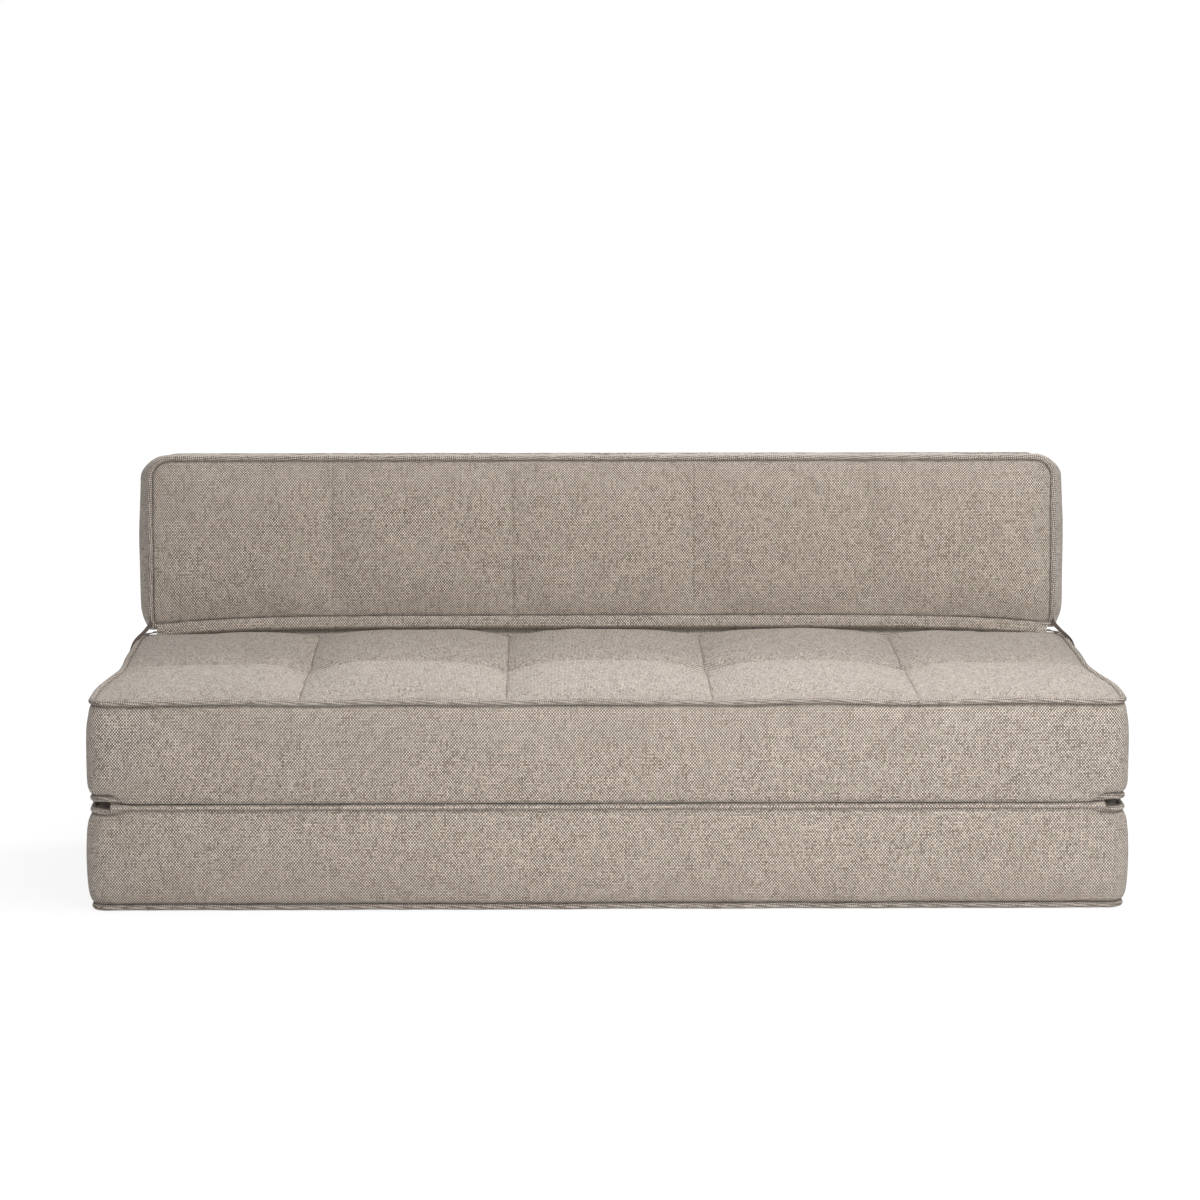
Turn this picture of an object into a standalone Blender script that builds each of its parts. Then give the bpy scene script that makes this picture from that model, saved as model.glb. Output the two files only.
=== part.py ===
"""Armless sofa bed of three foam blocks in piped fabric covers.

The seat block lies on the base block and flips forward on a fabric hinge band along their
front edges. The back block is hinged to the seat's rear top edge and folds flat behind it.
Metres, +Z up, -Y to the front, +X to the right seen from there. The origin is the
middle of the base's underside, on the floor.
"""

import math

import bmesh
import bpy
from mathutils import Matrix, Vector

OBJECT_NAME = "armless_sofa_bed"

# Base and seat blocks, measured between the centres of their pipings
BLOCK_WIDTH = 1.892
BLOCK_DEPTH = 0.750
BLOCK_HEIGHT = 0.1825
# Back block, measured the same way and narrower by so much at each end
BACK_NARROWING = 0.032
BACK_WIDTH = BLOCK_WIDTH - 2 * BACK_NARROWING
BACK_HEIGHT = 0.3245
BACK_THICKNESS = 0.1825
BACK_RECLINE = math.radians(5)

# Covers
CORNER_RADIUS = 0.040
PIPING_RADIUS = 0.0055
PANEL_CLOTH = 0.003
CLEARANCE = 0.0003
PIPING_ROOM = PIPING_RADIUS + CLEARANCE
BORDER_CLOTH = PIPING_RADIUS
# How much further the foam's top and bottom edges keep from the seams
CORE_EASE = 0.004

# How far the foam swells the covers
SIDE_BULGE = 0.019
FRONT_BULGE = 0.011
BACK_SIDE_BULGE = 0.026
BACK_END_BULGE = 0.004
PLAIN_CROWN = 0.0086

# Quilting of the seat's top and the back's front
QUILT_COLUMN_COUNT = 5
QUILT_ROW_COUNT = 2
SEAT_PUFF = 0.0185
TUFT_DEPTH = 0.0185
TUFT_SPREAD = 0.045
SEAM_DRAW = 0.003
BACK_PUFF = 0.007
SEAT_WADDING = 0.030
BACK_WADDING = 0.018
# The seat's outer columns narrow towards the rear by this much a side
SEAT_TAPER = 0.018
TAPER_START = 0.10
TAPER_END = 0.36

# Front fabric hinge
SEAM_GAP = PANEL_CLOTH + 2 * PLAIN_CROWN + CLEARANCE
TURN_CLEARANCE = 0.0015
FRONT_AXIS_LEAD = FRONT_BULGE + TURN_CLEARANCE
BAND_CLOTH = 0.0022
FRONT_BAND_INSET = 0.028
FRONT_BAND_HALF = BLOCK_WIDTH / 2 - FRONT_BAND_INSET

# Rear fabric hinge, with the back folding down onto the seat or out flat behind it
FOLD_CLEARANCE = 0.0015
AXIS_RISE = (PANEL_CLOTH + SEAT_PUFF + BACK_PUFF + FOLD_CLEARANCE) / 2
AXIS_SETBACK = 0.005
BACK_LIFT = 0.019
REAR_BAND_INSET = 0.025
REAR_BAND_HALF = BLOCK_WIDTH / 2 - SEAT_TAPER - REAR_BAND_INSET

# Webbing at the rear corners: a short tab beside the band, and a tie from side to side
STRAP_CLOTH = 0.0014
TAB_WIDTH = 0.010
TAB_GAP = 0.0005
TAB_SPLAY = 0.012
TIE_WIDTH = 0.012
TIE_ON_BACK = 0.060
TIE_LIFT = 0.046
TIE_SLOPE = 0.010
TIE_STAND = 0.0015
TIE_ON_SEAT = 0.095
TIE_DROP = 0.036
TIE_TAIL = 0.018

# Zips, one along each cover, keeping this far from the back block's ends
ZIP_END_MARGIN = 0.114
ZIP_LENGTH = BACK_WIDTH - 2 * ZIP_END_MARGIN
ZIP_WIDTH = 0.024
ZIP_CLOTH = 0.0012
SLIDER_LENGTH = 0.014
SLIDER_WIDTH = 0.010
SLIDER_HEIGHT = 0.0032
SLIDER_ROUNDING = 0.0006
# Its narrow end and its outer face, as shares of its wide end and its inner face
SLIDER_NOSE = 0.72
SLIDER_FACE = 0.8
BACK_ZIP_LEVEL = -0.45

# Powers in the formulas of the covers' faces: a higher one is fuller towards the edges
CROWN_FULLNESS = 6
CELL_FULLNESS = 2.5
CELL_STEEPNESS = 0.6

# Mesh counts
ARC_STEPS = 2
ZIP_STEPS = 2
BAND_STEPS = 3
SIDE_STEPS = 5
PIPING_RESOLUTION = 2
QUILT_FRACTIONS = (0.0, 0.15, 0.5, 0.85)
PLAIN_FRACTIONS = (0.12, 0.5, 0.88)
# Least place of a grid line from the block's edge, in corner radii
ARC_ROOM = 1.3
WELD_DISTANCE = 0.00005

# Where the blocks lie
BASE_SEAM_Z = PIPING_ROOM
BASE_TOP_Z = BASE_SEAM_Z + BLOCK_HEIGHT
SEAT_SEAM_Z = BASE_TOP_Z + SEAM_GAP
SEAT_TOP_Z = SEAT_SEAM_Z + BLOCK_HEIGHT
REAR_Y = BLOCK_DEPTH / 2
FRONT_AXIS = Vector((0, -REAR_Y - FRONT_AXIS_LEAD, (BASE_TOP_Z + SEAT_SEAM_Z) / 2))
REAR_AXIS = Vector((0, REAR_Y + AXIS_SETBACK, SEAT_TOP_Z + AXIS_RISE))

GREIGE = (0.42, 0.36, 0.30)
GREIGE_DARK = (0.30, 0.25, 0.21)
LINING = (0.10, 0.09, 0.085)
FOAM = (0.85, 0.78, 0.52)
FLEECE = (0.86, 0.86, 0.84)
WEBBING = (0.24, 0.21, 0.18)
ZIP_TAPE = (0.22, 0.19, 0.16)
ZIP_METAL = (0.45, 0.43, 0.40)


def clear_scene():
    for item in list(bpy.data.objects):
        bpy.data.objects.remove(item, do_unlink=True)


def make_material(name, colour, roughness, metallic=0.0):
    material = bpy.data.materials.new(name)
    material.use_nodes = True
    shader = material.node_tree.nodes["Principled BSDF"]
    shader.inputs["Base Color"].default_value = (*colour, 1.0)
    shader.inputs["Roughness"].default_value = roughness
    shader.inputs["Metallic"].default_value = metallic
    return material


def smooth_step(value):
    value = min(max(value, 0.0), 1.0)
    return value * value * (3 - 2 * value)


class Block:
    """A foam block in its own frame: X along its width, Z through its thickness."""

    def __init__(self, width, depth, height, side_bulge, end_bulge, rows=1, taper=0.0):
        self.half_x = width / 2
        self.half_y = depth / 2
        self.half_z = height / 2
        self.side_bulge = side_bulge
        self.end_bulge = end_bulge
        self.pitch_x = width / QUILT_COLUMN_COUNT
        self.pitch_y = depth / rows
        self.rows = rows
        self.taper = taper

    def lines(self, half, cells, fractions):
        """Grid lines across the block: the corner arcs' own lines and those of the cells."""
        pitch = 2 * half / cells
        inner = [-half + pitch * (cell + part) for cell in range(cells) for part in fractions]
        inner = [line for line in inner if abs(line) < half - ARC_ROOM * CORNER_RADIUS]
        arc = [half - CORNER_RADIUS * step / ARC_STEPS for step in range(ARC_STEPS + 1)]
        return sorted(inner + arc + [-line for line in arc])

    def plain_lines(self):
        return (self.lines(self.half_x, 1, PLAIN_FRACTIONS),
                self.lines(self.half_y, 1, PLAIN_FRACTIONS))

    def quilt_lines(self):
        return (self.lines(self.half_x, QUILT_COLUMN_COUNT, QUILT_FRACTIONS),
                self.lines(self.half_y, self.rows, QUILT_FRACTIONS))

    def place(self, x, y, inset=0.0, draw=0.0):
        """A grid point's place in plan, on an outline with round corners drawn in by inset."""
        flat_x = self.half_x - CORNER_RADIUS
        flat_y = self.half_y - CORNER_RADIUS
        a = max(0.0, abs(x) - flat_x) / CORNER_RADIUS
        b = max(0.0, abs(y) - flat_y) / CORNER_RADIUS
        across = a * math.sqrt(1 - b * b / 2)
        along = b * math.sqrt(1 - a * a / 2)
        place_x = min(abs(x), flat_x) + across * (CORNER_RADIUS - inset)
        place_y = min(abs(y), flat_y) + along * (CORNER_RADIUS - inset)
        place_x -= a * draw * self.seam_end(y, self.half_y, self.pitch_y)
        place_y -= b * draw * self.seam_end(x, self.half_x, self.pitch_x)
        inner_seam = self.half_x - self.pitch_x
        share = max(0.0, abs(x) - inner_seam) / self.pitch_x
        ramp = (y + self.half_y - TAPER_START) / (TAPER_END - TAPER_START)
        place_x -= self.taper * share * smooth_step(ramp)
        return math.copysign(place_x, x), math.copysign(place_y, y)

    def seam_end(self, value, half, pitch):
        """One where a quilting seam meets the edge, falling to nothing between the seams."""
        if abs(value) > half - pitch / 2:
            return 0.0
        return (0.5 + 0.5 * math.cos(2 * math.pi * (value + half) / pitch)) ** 2

    def bulge(self, x, y, level):
        """The side wall's swelling beyond the seam; level runs from -1 to 1 between seams."""
        rise = math.sin(math.pi * (level + 1) / 2)
        a = max(0.0, abs(x) - self.half_x + CORNER_RADIUS) / CORNER_RADIUS
        b = max(0.0, abs(y) - self.half_y + CORNER_RADIUS) / CORNER_RADIUS
        return max(0.0, rise) * (self.side_bulge * a * a + self.end_bulge * b * b) / max(
            a * a + b * b, 1e-9)

    def wall_point(self, x, y, level, outward):
        """A point outward of the side wall's outer face, for a point x, y on the outline."""
        swell = self.bulge(x, y, level) + outward
        place_x, place_y = self.place(x, y, -swell)
        wall_half = self.half_z - PIPING_ROOM
        return Vector((place_x, place_y, level * wall_half))

    def outline(self, lines_x, lines_y):
        """Grid points round the block's edge, anticlockwise from the front left corner."""
        left, right = -self.half_x, self.half_x
        front, rear = -self.half_y, self.half_y
        loop = [(x, front) for x in lines_x[:-1]]
        loop += [(right, y) for y in lines_y[:-1]]
        loop += [(x, rear) for x in reversed(lines_x[1:])]
        loop += [(left, y) for y in reversed(lines_y[1:])]
        return loop

    def plain_crown(self, x, y):
        dome_x = 1 - abs(x / self.half_x) ** CROWN_FULLNESS
        dome_y = 1 - abs(y / self.half_y) ** CROWN_FULLNESS
        return PLAIN_CROWN * dome_x * dome_y

    def cell_dome(self, value, half, pitch):
        """Zero on a quilting seam or edge and one in the middle of a cell."""
        across = abs(2 * (((value + half) / pitch) % 1.0) - 1)
        return (1 - across ** CELL_FULLNESS) ** CELL_STEEPNESS

    def quilt(self, x, y, puff, tuft_depth):
        """Height of a quilted face over its seams, with a tuft where inner seams cross."""
        edge_x = min(max(x, 1e-6 - self.half_x), self.half_x - 1e-6)
        edge_y = min(max(y, 1e-6 - self.half_y), self.half_y - 1e-6)
        height = puff * self.cell_dome(edge_x, self.half_x, self.pitch_x)
        height *= self.cell_dome(edge_y, self.half_y, self.pitch_y)
        for column in range(1, QUILT_COLUMN_COUNT):
            for row in range(1, self.rows):
                tuft_x = column * self.pitch_x - self.half_x
                tuft_y = row * self.pitch_y - self.half_y
                reach = ((x - tuft_x) ** 2 + (y - tuft_y) ** 2) / TUFT_SPREAD ** 2
                height -= tuft_depth * math.exp(-reach)
        return height


def mesh_object(name, bm, material, parent, collection):
    bmesh.ops.recalc_face_normals(bm, faces=bm.faces)
    mesh = bpy.data.meshes.new(name)
    bm.to_mesh(mesh)
    bm.free()
    mesh.materials.append(material)
    item = bpy.data.objects.new(name, mesh)
    item.parent = parent
    collection.objects.link(item)
    return item


def sheet_mesh(count_u, count_v, near, far, closed=False):
    """A thick sheet: a grid placed by near(i, j), extruded to far(i, j); closed joins its ends."""
    bm = bmesh.new()
    bmesh.ops.create_grid(bm, x_segments=count_u - 1, y_segments=count_v - 1, size=1.0)
    line_u = bm.verts.layers.int.new("line_u")
    line_v = bm.verts.layers.int.new("line_v")
    for vert in bm.verts:
        vert[line_u] = round((vert.co.x + 1) / 2 * (count_u - 1))
        vert[line_v] = round((vert.co.y + 1) / 2 * (count_v - 1))
        vert.co = near(vert[line_u], vert[line_v])
    if closed:
        bmesh.ops.remove_doubles(bm, verts=bm.verts, dist=WELD_DISTANCE)
    grown = bmesh.ops.extrude_face_region(bm, geom=bm.faces[:])
    for item in grown["geom"]:
        if isinstance(item, bmesh.types.BMVert):
            item.co = far(item[line_u], item[line_v])
    return bm


class Cover:
    """Builds the pieces of one block's cover and filling, named for the block."""

    def __init__(self, name, block, parent, matrix, collection, materials):
        self.name = name
        self.block = block
        self.parent = parent
        self.matrix = matrix
        self.collection = collection
        self.materials = materials

    def add(self, piece, bm, material):
        item = mesh_object(f"{self.name}_{piece}", bm, self.materials[material],
                           self.parent, self.collection)
        item.matrix_local = self.matrix
        return item

    def slab(self, piece, material, lines, inset, top, bottom, draw=0.0):
        """A flat or crowned layer across the block between two surfaces of x and y."""
        lines_x, lines_y = lines

        def surface(height):
            def point(i, j):
                x, y = lines_x[i], lines_y[j]
                return Vector((*self.block.place(x, y, inset, draw), height(x, y)))
            return point

        bm = sheet_mesh(len(lines_x), len(lines_y), surface(bottom), surface(top))
        return self.add(piece, bm, material)

    def border(self):
        """The boxing strip round the sides, swollen by the foam."""
        loop = self.block.outline(*self.block.plain_lines())
        loop.append(loop[0])

        def wall(outward):
            def point(i, j):
                level = 2 * j / SIDE_STEPS - 1
                return self.block.wall_point(*loop[i], level, outward)
            return point

        bm = sheet_mesh(len(loop), SIDE_STEPS + 1, wall(0.0), wall(-BORDER_CLOTH), closed=True)
        return self.add("border", bm, "cloth")

    def piping(self, piece, level, lines, draw=0.0):
        """The corded edge along one seam, a closed round tube."""
        curve = bpy.data.curves.new(f"{self.name}_{piece}", "CURVE")
        curve.dimensions = "3D"
        curve.bevel_depth = PIPING_RADIUS
        curve.bevel_resolution = PIPING_RESOLUTION
        loop = self.block.outline(*lines)
        spline = curve.splines.new("POLY")
        spline.points.add(len(loop) - 1)
        for point, (x, y) in zip(spline.points, loop):
            point.co = (*self.block.place(x, y, 0.0, draw), level * self.block.half_z, 1.0)
        spline.use_cyclic_u = True
        curve.materials.append(self.materials["piping"])
        item = bpy.data.objects.new(f"{self.name}_{piece}", curve)
        item.parent = self.parent
        item.matrix_local = self.matrix
        self.collection.objects.link(item)
        return item

    def foam_core(self, top, bottom):
        """The foam block, swollen like its cover, with its faces from top and bottom."""
        lines_x, lines_y = self.block.plain_lines()
        inset = PIPING_ROOM + CORE_EASE

        def surface(height):
            def point(i, j):
                x, y = lines_x[i], lines_y[j]
                return Vector((*self.block.place(x, y, inset), height(x, y)))
            return point

        bm = sheet_mesh(len(lines_x), len(lines_y), surface(bottom), surface(top))
        line_u = bm.verts.layers.int["line_u"]
        line_v = bm.verts.layers.int["line_v"]
        walls = [edge for edge in bm.edges
                 if edge.verts[0][line_u] == edge.verts[1][line_u]
                 and edge.verts[0][line_v] == edge.verts[1][line_v]]
        cuts = SIDE_STEPS - 1
        split = bmesh.ops.subdivide_edges(bm, edges=walls, cuts=cuts, use_grid_fill=True)
        for vert in split["geom_inner"]:
            if not isinstance(vert, bmesh.types.BMVert):
                continue
            x, y = lines_x[vert[line_u]], lines_y[vert[line_v]]
            low, high = bottom(x, y), top(x, y)
            level = 2 * round((vert.co.z - low) / (high - low) * SIDE_STEPS) / SIDE_STEPS - 1
            vert.co = self.block.wall_point(x, y, level, -BORDER_CLOTH - CLEARANCE)
        return self.add("foam_core", bm, "foam")

    def zip_tape(self, side, level):
        """The closed zip, lying on the straight part of the side wall at y = side * half_y."""
        edge_y = side * self.block.half_y
        half_level = ZIP_WIDTH / 2 / (self.block.half_z - PIPING_ROOM)

        def face(outward):
            def point(i, j):
                place = level + half_level * (2 * j / ZIP_STEPS - 1)
                wall = self.block.wall_point(0.0, edge_y, place, outward)
                wall.x = ZIP_LENGTH * (i - 0.5)
                return wall
            return point

        bm = sheet_mesh(2, ZIP_STEPS + 1, face(CLEARANCE), face(CLEARANCE + ZIP_CLOTH))
        return self.add("zip", bm, "zip_tape")

    def zip_slider(self, side, level):
        """The slider at the closed end of the zip, without a pull, as on furniture covers."""
        edge_y = side * self.block.half_y
        seat = self.block.wall_point(0.0, edge_y, level, 2 * CLEARANCE + ZIP_CLOTH)
        bm = bmesh.new()
        bmesh.ops.create_cube(bm, size=1.0)
        for vert in bm.verts:
            nose = SLIDER_NOSE if vert.co.x > 0 else 1.0
            face = SLIDER_FACE if vert.co.y * side > 0 else 1.0
            vert.co.x *= SLIDER_LENGTH * face
            vert.co.z *= SLIDER_WIDTH * nose * face
            vert.co.y *= SLIDER_HEIGHT
        item = self.add("zip_slider", bm, "zip_metal")
        place = Vector((SLIDER_LENGTH - ZIP_LENGTH / 2, seat.y + side * SLIDER_HEIGHT / 2, seat.z))
        item.matrix_local = self.matrix @ Matrix.Translation(place)
        rounding = item.modifiers.new("rounding", "BEVEL")
        rounding.width = SLIDER_ROUNDING
        rounding.segments = 1
        return item


def add_empty(name, location, parent, collection, tilt=0.0):
    empty = bpy.data.objects.new(name, None)
    empty.parent = parent
    empty.location = location
    empty.rotation_euler = (tilt, 0, 0)
    collection.objects.link(empty)
    return empty


def build_base(collection, materials):
    block = Block(BLOCK_WIDTH, BLOCK_DEPTH, BLOCK_HEIGHT, SIDE_BULGE, FRONT_BULGE)
    centre = Matrix.Translation((0, 0, BASE_SEAM_Z + block.half_z))
    cover = Cover("base", block, None, centre, collection, materials)
    lines = block.plain_lines()
    half_cloth = PANEL_CLOTH / 2
    floor = -block.half_z - BASE_SEAM_Z

    def crown(x, y):
        return block.half_z + half_cloth + block.plain_crown(x, y)

    cover.slab("top_panel", "cloth", lines, PIPING_ROOM, crown,
               lambda x, y: crown(x, y) - PANEL_CLOTH)
    cover.border()
    cover.slab("bottom_panel", "lining", lines, PIPING_ROOM,
               lambda x, y: floor + PANEL_CLOTH, lambda x, y: floor)
    cover.foam_core(lambda x, y: crown(x, y) - PANEL_CLOTH - CLEARANCE,
                    lambda x, y: floor + PANEL_CLOTH + CLEARANCE)
    cover.piping("top_piping", 1, lines)
    cover.piping("bottom_piping", -1, lines)
    cover.zip_tape(1, 0.0)
    cover.zip_slider(1, 0.0)


def build_seat(collection, materials, hinge):
    block = Block(BLOCK_WIDTH, BLOCK_DEPTH, BLOCK_HEIGHT, SIDE_BULGE, FRONT_BULGE,
                  rows=QUILT_ROW_COUNT, taper=SEAT_TAPER)
    centre = Matrix.Translation(Vector((0, 0, SEAT_SEAM_Z + block.half_z)) - FRONT_AXIS)
    cover = Cover("seat", block, hinge, centre, collection, materials)
    plain = block.plain_lines()
    quilted = block.quilt_lines()
    half_cloth = PANEL_CLOTH / 2
    wadding_floor = block.half_z - SEAT_WADDING

    def top(x, y):
        return block.half_z + half_cloth + block.quilt(x, y, SEAT_PUFF, TUFT_DEPTH)

    def underside(x, y):
        return -block.half_z - half_cloth - block.plain_crown(x, y)

    cover.slab("top_panel", "cloth", quilted, PIPING_ROOM, top,
               lambda x, y: top(x, y) - PANEL_CLOTH, SEAM_DRAW)
    cover.slab("wadding", "fleece", quilted, PIPING_ROOM + CORE_EASE,
               lambda x, y: top(x, y) - PANEL_CLOTH - CLEARANCE, lambda x, y: wadding_floor,
               SEAM_DRAW)
    cover.border()
    cover.slab("bottom_panel", "cloth", plain, PIPING_ROOM,
               lambda x, y: underside(x, y) + PANEL_CLOTH, underside)
    cover.foam_core(lambda x, y: wadding_floor - CLEARANCE,
                    lambda x, y: underside(x, y) + PANEL_CLOTH + CLEARANCE)
    cover.piping("top_piping", 1, quilted, SEAM_DRAW)
    cover.piping("bottom_piping", -1, plain)
    cover.zip_tape(1, 0.0)
    cover.zip_slider(1, 0.0)
    return block


def build_back(collection, materials, hinge):
    block = Block(BACK_WIDTH, BACK_HEIGHT, BACK_THICKNESS, BACK_SIDE_BULGE, BACK_END_BULGE)
    centre = Matrix.Translation((0, AXIS_RISE + block.half_z, BACK_LIFT + block.half_y))
    centre = centre @ Matrix.Rotation(math.pi / 2, 4, "X")
    cover = Cover("back", block, hinge, centre, collection, materials)
    plain = block.plain_lines()
    quilted = (block.quilt_lines()[0], plain[1])
    half_cloth = PANEL_CLOTH / 2
    wadding_floor = block.half_z - BACK_WADDING

    def front(x, y):
        return block.half_z + half_cloth + block.quilt(x, y, BACK_PUFF, 0.0)

    def rear(x, y):
        return -block.half_z - half_cloth - block.plain_crown(x, y)

    cover.slab("front_panel", "cloth", quilted, PIPING_ROOM, front,
               lambda x, y: front(x, y) - PANEL_CLOTH)
    cover.slab("wadding", "fleece", quilted, PIPING_ROOM + CORE_EASE,
               lambda x, y: front(x, y) - PANEL_CLOTH - CLEARANCE, lambda x, y: wadding_floor)
    cover.border()
    cover.slab("rear_panel", "cloth", plain, PIPING_ROOM,
               lambda x, y: rear(x, y) + PANEL_CLOTH, rear)
    cover.foam_core(lambda x, y: wadding_floor - CLEARANCE,
                    lambda x, y: rear(x, y) + PANEL_CLOTH + CLEARANCE)
    cover.piping("front_piping", 1, plain)
    cover.piping("rear_piping", -1, plain)
    cover.zip_tape(-1, BACK_ZIP_LEVEL)
    cover.zip_slider(-1, BACK_ZIP_LEVEL)
    return block, centre


def strip_between(start, end, start_span, end_span, cloth):
    """A flat strip of cloth from start to end in side view, each end between two x places."""
    run = (end - start).normalized()
    across = Vector((0, -run.z, run.y)) * cloth / 2

    def face(side):
        def point(i, j):
            share = j / BAND_STEPS
            place = start.lerp(end, share) + across * side
            place.x = start_span[i] * (1 - share) + end_span[i] * share
            return place
        return point

    return sheet_mesh(2, BAND_STEPS + 1, face(-1), face(1))


def add_in_frame(name, bm, material, hinge, frame, collection):
    """Adds a mesh built in world places to a hinge whose own axes are given by frame."""
    bm.transform(frame.inverted())
    return mesh_object(name, bm, material, hinge, collection)


def build_hinge_bands(collection, materials, seat_hinge, back_hinge, back_frame):
    """The two fabric hinges, each sewn in between two pipings."""
    low = Vector((0, -REAR_Y, BASE_TOP_Z + PIPING_ROOM))
    high = Vector((0, -REAR_Y, SEAT_SEAM_Z - PIPING_ROOM))
    span = (-FRONT_BAND_HALF, FRONT_BAND_HALF)
    bm = strip_between(low, high, span, span, BAND_CLOTH)
    add_in_frame("front_hinge_band", bm, materials["cloth"], seat_hinge,
                 Matrix.Translation(FRONT_AXIS), collection)

    seat_seam = Vector((0, REAR_Y, SEAT_TOP_Z))
    back_seam = back_frame @ Vector((0, AXIS_RISE, BACK_LIFT))
    run = (back_seam - seat_seam).normalized() * PIPING_ROOM
    span = (-REAR_BAND_HALF, REAR_BAND_HALF)
    bm = strip_between(seat_seam + run, back_seam - run, span, span, BAND_CLOTH)
    add_in_frame("rear_hinge_band", bm, materials["cloth"], back_hinge, back_frame, collection)


def build_corner_tab(side, name, collection, materials, back_hinge, back_frame):
    """A short tab of webbing beside the rear band's end, down to the seat's corner piping."""
    inner = REAR_BAND_HALF + TAB_GAP + TAB_SPLAY
    arc_x = inner - (BLOCK_WIDTH / 2 - SEAT_TAPER - CORNER_RADIUS)
    arc_y = math.sqrt(CORNER_RADIUS ** 2 - arc_x ** 2) - CORNER_RADIUS
    seat_seam = Vector((0, REAR_Y + arc_y, SEAT_TOP_Z))
    back_seam = back_frame @ Vector((0, AXIS_RISE, BACK_LIFT))
    run = (back_seam - seat_seam).normalized() * PIPING_ROOM
    low_span = (side * inner, side * (inner + TAB_WIDTH))
    high_span = (side * (inner - TAB_SPLAY), side * (inner - TAB_SPLAY + TAB_WIDTH))
    bm = strip_between(seat_seam + run, back_seam - run, low_span, high_span, STRAP_CLOTH)
    add_in_frame(name, bm, materials["webbing"], back_hinge, back_frame, collection)


def build_corner_tie(side, name, collection, materials, back_hinge, back_frame, seat, back):
    """Webbing across the rear corner, from the back's side wall to the seat's side wall."""
    back_block, back_centre = back
    skin = CLEARANCE + STRAP_CLOTH / 2

    def on_back(from_front, from_bottom, outward):
        level = (back_block.half_z - from_front) / (back_block.half_z - PIPING_ROOM)
        wall = back_block.wall_point(side * back_block.half_x, from_bottom - back_block.half_y,
                                     level, outward)
        return back_frame @ back_centre @ wall

    def on_seat(from_rear, drop, outward):
        level = (seat.half_z - drop) / (seat.half_z - PIPING_ROOM)
        wall = seat.wall_point(side * seat.half_x, seat.half_y - from_rear, level, outward)
        wall.z = seat.half_z - drop
        return wall + Vector((0, 0, SEAT_SEAM_Z + seat.half_z))

    path = [on_back(TIE_ON_BACK, TIE_LIFT, skin),
            on_back(TIE_ON_BACK / 2, TIE_LIFT - TIE_SLOPE, skin + TIE_STAND),
            on_back(0.0, TIE_LIFT - 2 * TIE_SLOPE, PIPING_ROOM + skin),
            on_seat(TIE_ON_SEAT, -PIPING_RADIUS, PIPING_ROOM + skin),
            on_seat(TIE_ON_SEAT + TIE_DROP / 2, PIPING_ROOM, PIPING_ROOM + skin),
            on_seat(TIE_ON_SEAT + TIE_DROP + TIE_TAIL, TIE_DROP, skin + TIE_STAND)]

    def face(outward):
        def point(i, j):
            before, after = path[max(i - 1, 0)], path[min(i + 1, len(path) - 1)]
            run = Vector((0, after.y - before.y, after.z - before.z)).normalized()
            across = Vector((0, -run.z, run.y)) * TIE_WIDTH * (j - 0.5)
            return path[i] + across + Vector((side * outward * STRAP_CLOTH / 2, 0, 0))
        return point

    bm = sheet_mesh(len(path), 2, face(-1), face(1))
    add_in_frame(name, bm, materials["webbing"], back_hinge, back_frame, collection)


def main():
    clear_scene()
    collection = bpy.data.collections.new(OBJECT_NAME)
    bpy.context.scene.collection.children.link(collection)
    materials = {
        "cloth": make_material("greige_cloth", GREIGE, 0.9),
        "piping": make_material("piping_cloth", GREIGE_DARK, 0.85),
        "lining": make_material("underside_lining", LINING, 0.9),
        "foam": make_material("foam", FOAM, 0.95),
        "fleece": make_material("fleece_wadding", FLEECE, 1.0),
        "webbing": make_material("strap_webbing", WEBBING, 0.8),
        "zip_tape": make_material("zip_tape", ZIP_TAPE, 0.8),
        "zip_metal": make_material("zip_slider_metal", ZIP_METAL, 0.35, 1.0),
    }
    seat_hinge = add_empty("seat_hinge_axis", FRONT_AXIS, None, collection)
    back_hinge = add_empty("back_hinge_axis", REAR_AXIS - FRONT_AXIS, seat_hinge, collection,
                           -BACK_RECLINE)
    back_frame = Matrix.Translation(REAR_AXIS) @ Matrix.Rotation(-BACK_RECLINE, 4, "X")
    build_base(collection, materials)
    seat = build_seat(collection, materials, seat_hinge)
    back = build_back(collection, materials, back_hinge)
    build_hinge_bands(collection, materials, seat_hinge, back_hinge, back_frame)
    for side, word in ((-1, "left"), (1, "right")):
        build_corner_tab(side, f"{word}_corner_tab", collection, materials, back_hinge,
                         back_frame)
        build_corner_tie(side, f"{word}_corner_tie", collection, materials, back_hinge,
                         back_frame, seat, back)


main()
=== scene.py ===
"""Finished surfaces of the armless sofa bed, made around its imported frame.

Three foam blocks in sewn covers of one coarse greige cloth: a base, a quilted seat that flips
forward off it, and a back on a fabric hinge. Every panel is a grid of points worked out in its
block's own frame and then given its seams, laps and puckers. The panels that show and the side
walls are first settled by a cloth simulation.
Metres throughout, in the frame's own axes: +Z up, -Y to the front.
"""

import math
from contextlib import contextmanager

import bmesh
import bpy
import numpy as np
from bpy.props import FloatProperty, FloatVectorProperty, PointerProperty
from bpy.types import Operator, Panel, PropertyGroup
from mathutils import Matrix, Vector, noise


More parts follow.
